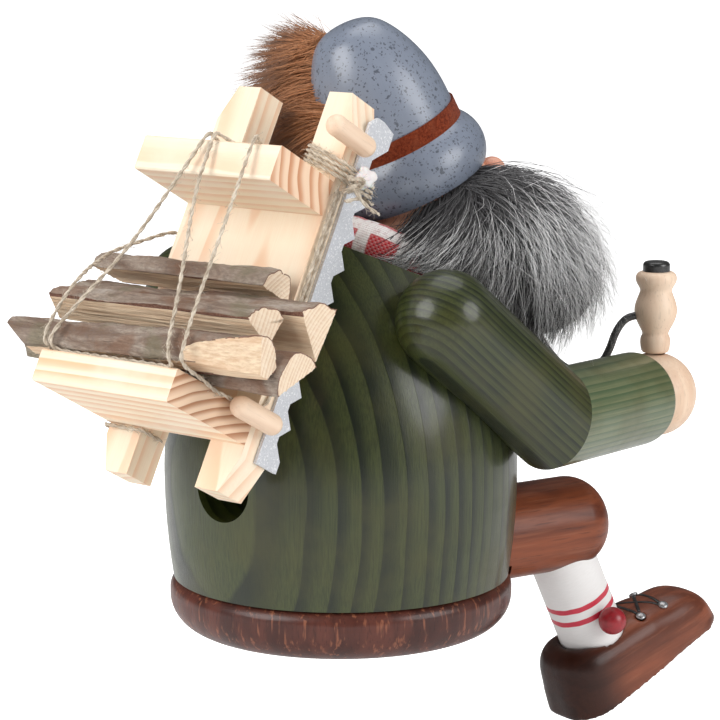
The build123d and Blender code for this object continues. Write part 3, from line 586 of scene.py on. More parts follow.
buildGroups()
finish = woodFinishes()
finish.update({
    "hat": hatFinish(), "suede": suedeFinish(), "saw": sawFinish(), "bark": barkFinish(), "split": splitFinish(),
    "logEnd": endFinish(), "twine": twineFinish(), "scarf": scarfFinish(), "glue": glueFinish(),
    "beardUnder": hairFinish("beardUnderFur", (0.058, 0.055, 0.058), (0.11, 0.106, 0.11), (0.085, 0.081, 0.085), 0.75),
    "beardGuard": hairFinish("beardGuardHair", (0.085, 0.082, 0.085), (0.94, 0.93, 0.93), (0.2, 0.196, 0.2), 0.5,
                             0.42),
    "plumeHair": hairFinish("plumeHair", (0.5, 0.205, 0.08), (0.19, 0.095, 0.055), (0.62, 0.31, 0.15), 0.72),
    "pelt": paintFinish("peltDark", (0.03, 0.028, 0.028), (0.08, 0.075, 0.075), 0.95, 0.0, 0.0, 0.6, 2500.0),
    "plumePelt": paintFinish("plumePelt", (0.075, 0.03, 0.016), (0.15, 0.062, 0.03), 0.95, 0.0, 0.0, 0.6, 2500.0),
    "barkEdge": paintFinish("barkEdgeRed", (0.13, 0.055, 0.035), (0.27, 0.14, 0.095), 0.85, 0.0, 0.0, 0.5, 1500.0),
    "eye": paintFinish("eyeBlack", (0.008, 0.008, 0.008), (0.02, 0.02, 0.02), 0.15, 0.8),
    "lid": paintFinish("lidBlack", (0.012, 0.012, 0.012), (0.035, 0.034, 0.033), 0.3, 0.5, 0.0, 0.2),
    "lace": paintFinish("laceBlack", (0.012, 0.01, 0.01), (0.03, 0.026, 0.025), 0.4, 0.3),
    "wire": paintFinish("stemWire", (0.06, 0.06, 0.062), (0.19, 0.185, 0.18), 0.4, 0.0, 0.7, 0.5, 1800.0),
    "steel": paintFinish("eyeletSteel", (0.48, 0.48, 0.49), (0.34, 0.34, 0.35), 0.35, 0.0, 0.8, 0.1),
    "dish": paintFinish("dishMetal", (0.56, 0.545, 0.51), (0.4, 0.38, 0.35), 0.4, 0.0, 0.85, 0.2, 1200.0),
    "pompom": paintFinish("pompomRed", (0.33, 0.01, 0.018), (0.23, 0.006, 0.012), 0.42, 0.25, 0.0, 0.2, 900.0),
    "nose": rayWood("noseSkin", (0.78, 0.4, 0.28), (0.7, 0.3, 0.2), (0.82, 0.5, 0.38),
                    Matrix.Identity(4), rough=0.4, coat=0.2, rayShare=0.1),
})

for side in ("right", "left"):
    finish[side + "Boot"] = bootFinish(side)
    finish[side + "Sock"] = sockFinish(side)

# which solids wear which finish
wearers = {
    "baseBrown": "base_disc", "dish": "incense_dish", "steel": "dish_nail right_boot_eyelets left_boot_eyelets",
    "bodyGreen": "body_shell", "skinWood": "head", "nose": "nose", "eye": "eyes", "hat": "hat", "suede": "hat_band",
    "plumePelt": "hat_plume", "scarf": "scarf", "pelt": "beard", "lid": "pipe_lid", "wire": "pipe_stem",
    "boardPine": "carrier_board", "plankPine": "carrier_plank", "shelfPine": "carrier_shelf", "saw": "saw_blade",
    "paleHandle": "saw_handle_upper saw_handle_lower", "twine": "log_lashing side_lashing post_lashing twine_knot",
    "bark": "log_front log_middle log_under log_rear log_top", "pompom": "right_pompom left_pompom",
    "palePlain": "pipe_bowl carrier_dowel right_hand left_hand right_shoulder_dowel left_shoulder_dowel "
                 "right_elbow_dowel left_elbow_dowel",
}
for side in ("right", "left"):
    wearers.update({side + "UpperArm": side + "_upper_arm", side + "Forearm": side + "_forearm",
                    side + "Thigh": side + "_thigh", side + "Sock": side + "_sock", side + "Boot": side + "_boot"})
dressed = {nodeName: finishName for finishName, names in wearers.items() for nodeName in names.split()}
for nodeName, obj in nodes.items():
    coat(obj, dressed[nodeName])
print("stage: finishes made,", len(finish))

firewood = {
    # centre out from the board and up from the shelf, in metres; start and sweep of the bark in degrees
    "log_front": dict(back=0.0244, up=0.00335, radius=0.0056, start=-36, sweep=252, split=False, left=0.037,
                      right=-0.041, lift=0.0029, seed=3),
    "log_middle": dict(back=0.0184, up=0.011, radius=0.0094, start=26, sweep=82, split=True, left=0.032,
                       right=-0.036, lift=0.0, seed=5),
    "log_under": dict(back=0.0118, up=0.0058, radius=0.007, start=-50, sweep=180, split=False, left=0.041,
                      right=-0.042, lift=0.0, seed=8),
    "log_rear": dict(back=0.0046, up=0.0132, radius=0.0136, start=36, sweep=56, split=True, left=0.036,
                     right=-0.039, lift=0.0, seed=13),
    "log_top": dict(back=0.0066, up=0.0274, radius=0.006, start=0, sweep=180, split=False, left=0.034,
                    right=-0.022, lift=0.0, seed=21),
}
logShape = {
    "shelfTop": 0.02, "rings": 96, "around": 60, "taper": 0.9, "barkDepth": 0.001, "fibreDepth": 0.00035,
    "slant": 0.12, "crack": 0.0011, "crackWidth": 7, "cracked": ("log_front", "log_middle"),
    # oblique cuts in the log's own axes, each a point and the side that is cut away
    "cuts": {"log_front": [((-0.017, 0.00507, -0.00237), (-0.235, 0.88, -0.41)),
                           ((0.0345, 0.002, -0.002), (0.5, 0.2, -0.8))],
             "log_middle": [((0.03, 0.0, 0.009), (0.72, 0.1, 0.68))],
             "log_top": [((0.027, 0.0, 0.0058), (0.6, 0.1, 0.8))]},
}


def directionAt(angle):
    return Vector((0, math.cos(math.radians(angle)), math.sin(math.radians(angle))))


def sectionLine(spec):
    # points round the section, each with its place and whether it lies on the bark
    radius, arc = spec["radius"], math.radians(spec["sweep"]) * spec["radius"]
    corners = [directionAt(spec["start"]) * radius, directionAt(spec["start"] + spec["sweep"]) * radius]
    middle = [Vector((0, 0, 0))] if spec["split"] else []
    flats = [corners[1], *middle, corners[0]]
    flatLength = sum((b - a).length for a, b in zip(flats, flats[1:]))
    arcCount = max(int(logShape["around"] * arc / (arc + flatLength)), 8)
    line = [(directionAt(spec["start"] + spec["sweep"] * k / arcCount) * radius, True) for k in range(arcCount + 1)]
    flatCount = max((logShape["around"] - arcCount) // (len(flats) - 1), 3)
    for a, b in zip(flats, flats[1:]):
        line += [(a.lerp(b, k / flatCount), False) for k in range(1, flatCount + 1)]
    return line[:-1]


def makeLog(nodeName, spec):
    length = spec["left"] - spec["right"]
    line = sectionLine(spec)
    obj = started(nodeName + "_split", bpy.ops.mesh.primitive_grid_add, x_subdivisions=logShape["rings"],
                  y_subdivisions=len(line), size=1)
    radius, seed, crackWidth = spec["radius"], spec["seed"], logShape["crackWidth"]
    inward = directionAt(spec["start"] + spec["sweep"] / 2 + 180)
    for vertex in obj.data.vertices:
        share = vertex.co.x + 0.5
        k = round((vertex.co.y + 0.5) * len(line)) % len(line)
        spot, onBark = line[k]
        x = (share - 0.5) * length
        probe = Vector((x * 0.2, spot.y, spot.z)) * 330 + Vector((seed, 0, 0))
        if onBark:
            rugged = noise.fractal(probe, 0.7, 2.1, 5) * 0.5 + abs(noise.noise(probe * 0.6)) * 0.9
            bend = noise.noise(Vector((x * 40, seed, 0))) * 0.3
            place = spot * (1 - (rugged + bend) * logShape["barkDepth"] / radius)
            around = math.degrees(math.atan2(spot.z, spot.y))
            near = abs(around - 74 - noise.noise(Vector((x * 90, seed, 5))) * 16)
            if nodeName in logShape["cracked"] and near < crackWidth:
                deep = logShape["crack"] / radius * (1 - near / crackWidth)
                place *= 1 - deep * abs(noise.noise(Vector((x * 55, 2, seed)))) * 2.4
        else:
            grain = noise.noise(Vector((x * 60, spot.y * 1900, spot.z * 1900 + seed)))
            place = spot + inward * grain * logShape["fibreDepth"]
        taper = 1 - (1 - logShape["taper"]) * share
        slant = (place.y + place.z) * logShape["slant"] * math.sin(seed) * (share - 0.5) * 2
        vertex.co = Vector((x + slant, place.y * taper, place.z * taper))
    inEdit(lambda: mergeClose(0.00003))
    bpy.ops.object.mode_set(mode="EDIT")
    bpy.ops.mesh.select_all(action="DESELECT")
    bpy.ops.mesh.select_mode(type="EDGE")
    bpy.ops.mesh.select_non_manifold()
    bpy.ops.mesh.fill_holes(sides=0)
    inEdit(turnOutward)
    bpy.ops.object.mode_set(mode="EDIT")
    for point, normal in logShape["cuts"].get(nodeName, []):
        bpy.ops.mesh.select_all(action="SELECT")
        bpy.ops.mesh.bisect(plane_co=point, plane_no=normal, use_fill=True, clear_outer=True)
    bpy.ops.mesh.select_all(action="DESELECT")
    bpy.ops.object.mode_set(mode="OBJECT")
    for face in obj.data.polygons:
        face.select = len(face.vertices) > 12
    bpy.ops.object.mode_set(mode="EDIT")
    bpy.ops.mesh.select_mode(type="FACE")
    bpy.ops.mesh.inset(thickness=0.00025, depth=0)
    bpy.ops.mesh.poke()
    bpy.ops.mesh.select_all(action="DESELECT")
    bpy.ops.object.mode_set(mode="OBJECT")
    outside, cleft, sawn, rim = range(4)
    coat(obj, "bark", "split", "logEnd", "barkEdge")
    for face in obj.data.polygons:
        taper = 1 - (1 - logShape["taper"]) * (face.center.x / length + 0.5)
        flat = Vector((0, face.center.y, face.center.z)) / taper
        out = flat.normalized()
        facing = Vector((0, face.normal.y, face.normal.z)).dot(out)
        if abs(face.normal.x) > 0.75:  # sawn ends, with a rim of inner bark
            kind = rim if flat.length > radius * 0.88 and abs(face.center.x) > length * 0.36 else sawn
        elif flat.length > radius * 0.82 and facing > 0.62:
            kind = outside
        else:
            kind = rim if flat.length > radius * 0.9 else cleft
        face.material_index = kind
        face.use_smooth = kind == outside
    slope = math.atan2(spec["lift"], length)
    shift = Matrix.Translation(((spec["left"] + spec["right"]) / 2, spec["back"],
                                logShape["shelfTop"] + spec["up"] + spec["lift"] / 2))
    obj.matrix_world = places["carrier"] @ shift @ Matrix.Rotation(slope, 4, "Y")
    applyPlace(obj)
    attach(obj, bodyName)
    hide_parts(nodeName)


for logName, spec in firewood.items():
    makeLog(logName, spec)
print("stage: firewood split")

twine = {
    "plyRadius": 0.0003, "plyOffset": 0.00022, "twistLength": 0.0062, "step": 0.00042, "sides": 6,
    # loose fibres: how many for each millimetre, their run, how far they stand out, and their radius
    "fuzz": 1.4, "fuzzRun": (0.0006, 0.002), "fuzzOut": (0.0004, 0.0012), "fuzzRadius": 0.00004,
    # routes in the carrier's own axes: across, behind the board's rear face, up from its foot, in millimetres
    "overLogs": [(-22.9, -2.4, 78.0), (-22.95, -2.8, 62.0), (-22.95, -3.0, 32.0), (-22.9, -2.4, 24.0),
        (-22.9, 1.0, 19.6), (-22.95, 10.0, 19.9), (-23.3, 17.0, 19.4), (-23.8, 22.0, 20.2), (-24.1, 28.5, 20.4),
        (-24.4, 32.2, 21.4), (-23.6, 31.8, 25.6), (-21.0, 29.6, 34.0), (-16.6, 24.9, 66.0), (-15.0, 23.4, 76.0),
        (-14.6, 22.7, 80.9), (-13.6, 20.4, 80.7), (-11.8, 16.0, 80.2), (-8.0, 14.2, 80.2), (-4.2, 16.0, 80.2),
        (-2.0, 20.4, 80.7), (-1.5, 22.8, 80.9), (-1.8, 23.0, 76.0), (-4.0, 25.0, 64.3), (-14.0, 29.0, 38.0),
        (-17.4, 30.9, 27.6), (-19.9, 32.4, 23.4), (-20.9, 31.6, 20.6), (-19.6, 28.6, 20.4), (-14.0, 27.8, 20.6),
        (12.0, 27.6, 20.6), (17.2, 27.8, 20.5), (19.0, 30.0, 20.5), (18.8, 32.0, 22.6), (16.4, 29.8, 31.0),
        (8.2, 26.8, 49.0), (2.4, 23.6, 73.0), (0.7, 22.7, 80.9), (0.9, 20.0, 80.6), (2.4, 14.8, 80.2),
        (9.0, 12.0, 80.2)],
    "overEdge": [(20.5, 27.6, 20.6), (20.4, 30.6, 20.6), (20.6, 32.0, 22.6), (20.9, 31.0, 28.0), (20.7, 29.6, 34.0),
        (20.2, 28.0, 38.8), (22.6, 23.4, 43.4), (27.2, 16.0, 48.6), (28.4, 12.8, 51.4), (26.6, 7.4, 56.2),
        (23.7, 1.8, 61.4), (23.0, -0.6, 62.6), (22.95, -5.0, 63.4)],
    "leg": [(22.95, -7.0, 11.0), (22.95, -1.0, 11.0), (23.0, 1.2, 11.1), (20.0, 0.9, 11.1), (13.0, 0.9, 11.1),
        (10.3, 1.1, 11.1), (10.5, -1.6, 11.1), (10.5, -7.0, 11.0)],
    "side": [(-23.5, -0.6, 78.6), (-23.3, -1.0, 64.0), (-23.2, -1.3, 46.0), (-23.0, -1.2, 30.0)],
    "post": [],
    "knotLoops": [(-25.0, -9.0, 82.4), (-26.6, -5.0, 81.4), (-28.4, -2.0, 80.4), (-29.2, 0.6, 78.4),
        (-27.4, 1.6, 76.6), (-25.6, -1.0, 77.2), (-26.6, -4.2, 79.6), (-28.8, -3.4, 81.4), (-29.8, 0.0, 80.8),
        (-28.6, 1.6, 79.4), (-26.2, 0.4, 80.8), (-25.4, -3.0, 82.0), (-27.6, -4.6, 77.6), (-29.2, -2.4, 76.6),
        (-28.2, 0.6, 74.4)],
    "frayed": [(-26.4, -1.0, 79.6), (-28.6, -1.4, 77.8), (-29.8, -3.4, 76.2), (-30.6, -6.4, 75.4), (-30.8, -9.4, 75.6)],
}
for turn in range(4):
    rise = turn * 1.25
    twine["post"] += [(-24.2, -13.6, 79.4 + rise), (-17.0, -11.6, 82.2 + rise), (-11.6, -10.2, 84.0 + rise),
                      (-10.3, -8.2, 84.4 + rise), (-10.3, -1.4, 84.5 + rise), (-11.0, 1.0, 84.4 + rise),
                      (-17.0, 1.1, 82.6 + rise), (-23.4, 1.0, 80.6 + rise), (-24.3, -1.6, 80.2 + rise),
                      (-24.4, -8.0, 80.2 + rise)]


def splinePoints(route, place):
    # the smooth line of a twine through its own control points
    curve = bpy.data.curves.new("route", "CURVE")
    curve.dimensions = "3D"
    spline = curve.splines.new("NURBS")
    spline.points.add(len(route) - 1)
    for point, where in zip(spline.points, route):
        spot = place @ (Vector(where) / 1000)
        point.co = (*spot, 1)
    spline.order_u = 3
    spline.use_endpoint_u = True
    spline.resolution_u = 16
    holder = linked("route", curve)
    line = bpy.data.meshes.new_from_object(holder)
    points = [v.co.copy() for v in line.vertices]
    bpy.data.objects.remove(holder)
    return points


def evenly(points, step):
    lengths = np.cumsum([0] + [(b - a).length for a, b in zip(points, points[1:])])
    count = max(int(lengths[-1] / step), 8)
    wanted = np.linspace(0, lengths[-1], count + 1)
    coords = np.array([tuple(p) for p in points])
    return np.column_stack([np.interp(wanted, lengths, coords[:, k]) for k in range(3)]), wanted


def frames(line):
    # directions across a line, without sudden twists
    along = np.gradient(line, axis=0)
    along /= np.linalg.norm(along, axis=1)[:, None]
    side = np.cross(along[0], (0.31, 0.2, 0.93))
    across = []
    for direction in along:
        side = side - direction * side.dot(direction)
        side /= np.linalg.norm(side)
        across.append(side)
    across = np.array(across)
    return along, across, np.cross(along, across)


def plyTube(line, wanted, phase, radius, offset, twist, sides, tones):
    _, across, up = frames(line)
    turn = wanted / twist * 2 * math.pi + phase
    centre = line + (across * np.cos(turn)[:, None] + up * np.sin(turn)[:, None]) * offset
    verts, faces = [], []
    for k in range(sides):
        angle = 2 * math.pi * k / sides
        ring = across * math.cos(angle) + up * math.sin(angle)
        verts.append(centre + ring * radius)
    verts = np.stack(verts, axis=1)
    count = len(line)
    for i in range(count - 1):
        for k in range(sides):
            after = (k + 1) % sides
            faces.append((i * sides + k, i * sides + after, (i + 1) * sides + after, (i + 1) * sides + k))
    faces += [tuple(range(sides - 1, -1, -1)), tuple((count - 1) * sides + k for k in range(sides))]
    return verts.reshape(-1, 3), faces, np.repeat(wanted, sides), np.full(count * sides, tones)


def dressedStrands(name, data, along, tone, finishName):
    data.polygons.foreach_set("use_smooth", [True] * len(data.polygons))
    for label, values in (("along", along), ("tone", tone)):
        data.attributes.new(label, "FLOAT", "POINT").data.foreach_set("value", values.astype(np.float32))
    obj = linked(name, data)
    coat(obj, finishName)
    return obj


def strandMesh(name, tubes, finishName):
    verts, faces, along, tone, base = [], [], [], [], 0
    for tubeVerts, tubeFaces, tubeAlong, tubeTone in tubes:
        verts.append(tubeVerts)
        faces += [tuple(base + i for i in face) for face in tubeFaces]
        along.append(tubeAlong)
        tone.append(tubeTone)
        base += len(tubeVerts)
    data = bpy.data.meshes.new(name)
    data.from_pydata([tuple(v) for v in np.concatenate(verts)], [], faces)
    return dressedStrands(name, data, np.concatenate(along), np.concatenate(tone), finishName)


def makeTwine(name, routeNames, replaced):
    tubes = []
    chance = random.Random(len(name))
    for routeName in routeNames:
        line, wanted = evenly(splinePoints(twine[routeName], places["carrier"]), twine["step"])
        for phase in (0.0, math.pi):
            tubes.append(plyTube(line, wanted, phase, twine["plyRadius"], twine["plyOffset"], twine["twistLength"],
                                 twine["sides"], phase / math.pi))
        along, across, up = frames(line)
        for _ in range(int(wanted[-1] * 1000 * twine["fuzz"])):
            i = chance.randrange(len(line) - 1)
            angle = chance.uniform(0, 6.283)
            out = across[i] * math.cos(angle) + up[i] * math.sin(angle)
            run = along[i] * chance.uniform(*twine["fuzzRun"]) * chance.choice((-1, 1))
            start = line[i] + out * 0.0005
            path = np.array([start, start + run * 0.5 + out * 0.0003,
                             start + run + out * chance.uniform(*twine["fuzzOut"])])
            tubes.append(plyTube(path, np.array([0, 0.001, 0.002]), 0, twine["fuzzRadius"], 0, 1, 3, chance.random()))
    obj = strandMesh(name, tubes, "twine")
    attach(obj, bodyName)
    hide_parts(*replaced)


makeTwine("twineOverLogs", ["overLogs", "overEdge", "leg"], ["log_lashing"])
makeTwine("twineSide", ["side"], ["side_lashing"])
makeTwine("twinePost", ["post"], ["post_lashing"])
makeTwine("twineKnot", ["knotLoops", "frayed"], ["twine_knot"])
print("stage: twine laid")

beardFur = {
    "centre": (-0.02259, -0.04153, 0.09003), "half": (0.03, 0.024, 0.021), "tilt": 34,
    "underHairs": 7900, "guardHairs": 5200, "clumps": 620, "seed": 11,
    "underWidth": 0.00019, "guardWidth": 0.000095, "voxel": 0.0012, "shrink": 0.0048,
    # hair at the sides: least, greatest and usual turn, and the reach of its tips from the head's middle
    "sideTurns": (58, 176, 128), "tipReach": (0.025, 0.033), "bareRise": -27, "bareTurn": 34, "headClear": 0.0195,
    # line of the roots in degrees: its usual end at the temples, the spread of it, and its top
    "temple": 66, "templeSpread": 6, "rootTop": 13,
}
plumeFur = {
    "half": (0.008, 0.015, 0.02), "hairs": 7900, "width": 0.00012, "clumps": 170, "seed": 4, "voxel": 0.001,
    "peltShare": (0.42, 0.72, 0.8), "peltOut": 0.0036, "rings": 5, "sag": 0.0006, "bulge": 0.0035,
    # first angle and sweep of the fan, and the hat's radius and height that the tips stay out of
    "fan": (-82, 178), "hatRoom": (0.0178, 0.05), "rootWide": 0.005, "rootOut": 0.013, "rootFoot": -0.016,
    "rootLength": 0.026,
}


def hairMesh(name, paths, widths, tones, finishName):
    # each hair is a three-sided blade that tapers to its tip
    paths = np.array(paths)
    count, rings, _ = paths.shape
    along = np.gradient(paths, axis=1)
    along /= np.maximum(np.linalg.norm(along, axis=2, keepdims=True), 1e-9)
    helper = np.where(np.abs(along[..., 2:3]) > 0.9, np.array([1.0, 0, 0]), np.array([0, 0, 1.0]))
    side = np.cross(along, helper)
    side /= np.linalg.norm(side, axis=2, keepdims=True)
    up = np.cross(along, side)
    share = np.linspace(0, 1, rings)
    width = np.array(widths)[:, None] * (1 - share[None, :] ** 1.6 * 0.88)
    verts = []
    for k in range(3):
        angle = 2 * math.pi * k / 3
        verts.append(paths + (side * math.cos(angle) + up * math.sin(angle)) * width[..., None])
    verts = np.stack(verts, axis=2).reshape(-1, 3)
    grid = np.arange(count * rings * 3).reshape(count, rings, 3)
    sides = []
    for k in range(3):
        after = (k + 1) % 3
        sides.append(np.stack([grid[:, :-1, k], grid[:, :-1, after], grid[:, 1:, after], grid[:, 1:, k]], axis=-1))
    quads = np.concatenate([s.reshape(-1, 4) for s in sides])
    tips = grid[:, -1, :]
    data = bpy.data.meshes.new(name)
    data.vertices.add(len(verts))
    data.vertices.foreach_set("co", verts.ravel())
    loops = np.concatenate([quads.ravel(), tips.ravel()])
    starts = np.concatenate([np.arange(len(quads)) * 4, len(quads) * 4 + np.arange(len(tips)) * 3])
    data.loops.add(len(loops))
    data.loops.foreach_set("vertex_index", loops)
    data.polygons.add(len(starts))
    data.polygons.foreach_set("loop_start", starts)
    data.update(calc_edges=True)
    data.validate()
    alongShare = np.broadcast_to(share[None, :, None], (count, rings, 3)).ravel()
    toneShare = np.broadcast_to(np.array(tones)[:, None, None], (count, rings, 3)).ravel()
    return dressedStrands(name, data, alongShare, toneShare, finishName)


def hairPath(root, bulge, tip, rings, sag):
    t = np.linspace(0, 1, rings)[:, None]
    path = root * (1 - t) ** 2 + bulge * 2 * t * (1 - t) + tip * t ** 2
    path[:, 2] -= sag * t[:, 0] ** 2
    return path


def within(inverse, point):
    return inverse[:3, :3] @ point + inverse[:3, 3]


def scatter(chance, size):
    return np.array([chance.gauss(0, size) for _ in range(3)])


def unit(v):
    return v / max(np.linalg.norm(v), 1e-9)


def headDirection(turn, rise):
    # direction from the head's middle, turned about the hat's axis and raised above the hat's plane
    flat = math.cos(math.radians(rise))
    hat = places["hat"].to_3x3()
    local = Vector((math.sin(math.radians(turn)) * flat, -math.cos(math.radians(turn)) * flat,
                    math.sin(math.radians(rise))))
    return np.array(hat @ local)


def slerped(a, b, t):
    angle = math.acos(max(-1, min(1, float(a.dot(b)))))
    if angle < 1e-4:
        return a
    return (a * math.sin((1 - t) * angle) + b * math.sin(t * angle)) / math.sin(angle)


def hairRound(rootDir, tip, rings, swell):
    # a hair that leaves the head at its root and bends round it to its tip
    head, radius = np.array(places["head"]), places["headRadius"] - 0.0004
    reach = tip - head
    far = np.linalg.norm(reach)
    points = []
    for t in np.linspace(0, 1, rings):
        out = slerped(rootDir, reach / far, t ** 1.05)
        points.append(head + out * (radius + (far - radius) * t ** 0.9 + swell * math.sin(math.pi * t) * far))
    return np.array(points)


def beardPaths(count, rings, chance, reach, spread, loose):
    head = np.array(places["head"])
    hat = places["hat"].to_3x3()
    centre = np.array(beardFur["centre"])
    face, faceSide = np.array(places["face"]), np.array(places["faceSide"])
    tilt = math.radians(90 - beardFur["tilt"])
    normal = face * math.cos(tilt) + np.array((0, 0, 1)) * math.sin(tilt)
    axes = np.array([faceSide, np.cross(normal, faceSide), normal])
    half = np.array(beardFur["half"])
    clumpDirs = [unit(scatter(chance, 1)) for _ in range(beardFur["clumps"])]
    nearest, farthest, _ = beardFur["sideTurns"]
    paths, tones = [], []
    while len(paths) < count:
        clump = clumpDirs[chance.randrange(len(clumpDirs))]
        if chance.random() < spread:  # hair that sweeps back over the scarf on either side
            side = chance.choice((-1, -1, -1, 1, 1))
            turn = side * chance.triangular(*beardFur["sideTurns"])
            back = (abs(turn) - nearest) / (farthest - nearest)
            drop = chance.uniform(-66 + 40 * back, -26 + 22 * back)
            tip = head + headDirection(turn, drop) * chance.uniform(*beardFur["tipReach"])
            if chance.random() < 0.6:
                rootTurn = chance.uniform(nearest, max(beardFur["temple"], abs(turn) * 0.78))
            else:
                rootTurn = chance.gauss(beardFur["temple"], beardFur["templeSpread"])
            rootDir = headDirection(side * rootTurn, chance.uniform(-24 + 16 * back, beardFur["rootTop"]))
            swell = 0.05
        else:
            d = unit(clump + scatter(chance, 0.055))
            layer = reach[0] + (reach[1] - reach[0]) * chance.random() ** 0.6
            tip = centre + (axes.T @ (d * half)) * layer
            back = tip - head
            turn = math.degrees(math.atan2(back @ np.array(hat.col[0]), -(back @ np.array(hat.col[1]))))
            level = math.degrees(math.asin(max(-1, min(1, float(back @ np.array(hat.col[2])) / np.linalg.norm(back)))))
            if level > beardFur["bareRise"] and abs(turn) < beardFur["bareTurn"]:
                continue
            side = 1 if turn > 0 else -1
            if abs(turn) < 30 and chance.random() < 0.55:
                rootDir = headDirection(turn * 0.9 + chance.gauss(0, 9), chance.uniform(-60, -25))
            else:
                rootTurn = side * (60 + chance.gauss(0, 11)) * 0.85 + turn * 0.15
                rises = (-26, beardFur["rootTop"]) if abs(rootTurn) > 38 else (-48, -26)
                rootDir = headDirection(rootTurn, chance.uniform(*rises))
            swell = 0.07
        if np.linalg.norm(tip - head) < beardFur["headClear"]:
            continue
        far = tip + scatter(chance, loose)
        paths.append(hairRound(unit(rootDir), far, rings, swell * chance.uniform(0.6, 1.4)))
        tones.append(chance.random() if swell > 0.06 else chance.uniform(0.45, 1.0))
    return paths, tones


clearance = {
    "hatRadius": 0.0214, "hatRim": 0.0034, "foldRing": 0.021, "foldRise": 0.0034, "foldHalf": (0.0046, 0.0062),
    "barRadius": 0.0127,
    # the body's side is an arc, its seat under the scarf a tilted plane
    "arcRadius": 0.1025, "arcHeight": 0.0405, "arcCentre": -0.0573, "gap": 0.0003, "seat": 0.0976,
    "seatTilt": (0.1855, 0.3347, 0.9239), "seatGap": 0.0004,
}


def cleared(paths):
    # hair that would end inside the body, an arm or the hat is pushed clear
    c = clearance
    wide, high = c["foldHalf"]
    hatInverse = np.array(places["hat"].inverted())
    scarfInverse = np.array((places["neck"] @ Matrix.Translation((*places["neckFoot"], 0))).inverted())
    bars = [[np.array(end) for end in places[side + bar]] for side in ("right", "left")
            for bar in ("UpperArm", "Forearm")]
    for path in paths:
        for k, point in enumerate(path[1:], 1):
            local = within(hatInverse, point)
            if local[2] > c["hatRim"] and np.hypot(local[0], local[1]) < c["hatRadius"]:
                point -= hatInverse[2, :3] * (local[2] - c["hatRim"])
            fold = within(scarfInverse, point)
            ring = np.hypot(fold[0], fold[1])
            off = np.array(((ring - c["foldRing"]) / wide, (fold[2] - c["foldRise"]) / high))
            inside = np.linalg.norm(off)
            if inside < 1 and k > 1:
                shift = np.array((fold[0] / ring * off[0] * wide, fold[1] / ring * off[0] * wide, off[1] * high))
                point += scarfInverse[:3, :3].T @ (shift * (1 / max(inside, 0.2) - 1))
            for start, end in bars:
                run = end - start
                t = min(max((point - start).dot(run) / run.dot(run), 0), 1)
                away = point - (start + run * t)
                gap = np.linalg.norm(away)
                if gap < c["barRadius"]:
                    point += away / gap * (c["barRadius"] - gap)
            side = c["arcRadius"] ** 2 - (point[2] - c["arcHeight"]) ** 2
            limit = c["arcCentre"] + math.sqrt(max(side, 0)) + c["gap"]
            flat = np.hypot(point[0], point[1])
            tiltX, tiltY, tiltZ = c["seatTilt"]
            seat = c["seat"] + (point[0] * tiltX + point[1] * tiltY) / tiltZ
            if flat < limit and point[2] < seat:
                if limit - flat < seat - point[2]:
                    point[:2] *= limit / flat
                else:
                    point[2] = seat + c["seatGap"]
    return paths


def clumped(paths, chance, size, pull):
    # neighbours lean together towards their tips
    paths = np.array(paths)
    order = np.lexsort((np.round(paths[:, -1, 2] / 0.003), np.round(paths[:, -1, 0] / 0.003),
                        np.round(paths[:, -1, 1] / 0.003)))
    paths = paths[order]
    share = np.linspace(0, 1, paths.shape[1])[None, :, None] ** 1.5
    for start in range(0, len(paths), size):
        group = paths[start:start + size]
        middle = group.mean(axis=0, keepdims=True)
        near = np.linalg.norm(group[:, -1] - middle[:, -1], axis=1) < 0.006
        strength = pull * chance.uniform(0.3, 1.0)
        group[near] += (middle - group[near]) * share * strength
    return paths, order


def makeBeard():
    chance = random.Random(beardFur["seed"])
    pelt = cleanCopy("beardPelt", "beard")
    addModifier(pelt, "REMESH", mode="VOXEL", voxel_size=beardFur["voxel"])
    addModifier(pelt, "DISPLACE", strength=-beardFur["shrink"], mid_level=0.0)
    applyModifiers(pelt)
    coat(pelt, "pelt")
    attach(pelt, bodyName)
    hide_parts("beard")
    for name, guard, spread in (("beardUnderFront", False, 0.22), ("beardUnderBack", False, 0.62),
                                ("beardGuardFront", True, 0.2), ("beardGuardBack", True, 0.55)):
        width = beardFur["guardWidth"] if guard else beardFur["underWidth"]
        count, rings = (beardFur["guardHairs"], 6) if guard else (beardFur["underHairs"], 5)
        reach, loose = ((0.72, 1.24), 0.0024) if guard else ((0.5, 1.02), 0.0012)
        finishName, size, pull = ("beardGuard", 11, 0.9) if guard else ("beardUnder", 9, 0.5)
        paths, tones = beardPaths(count, rings, chance, reach, spread, loose)
        paths, order = clumped(cleared(paths), chance, size, pull)
        tones = np.array(tones)[order]
        widths = [width * chance.uniform(0.6, 1.25) for _ in range(len(paths))]
        fur = hairMesh(name, paths, widths, tones, finishName)
        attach(fur, bodyName)


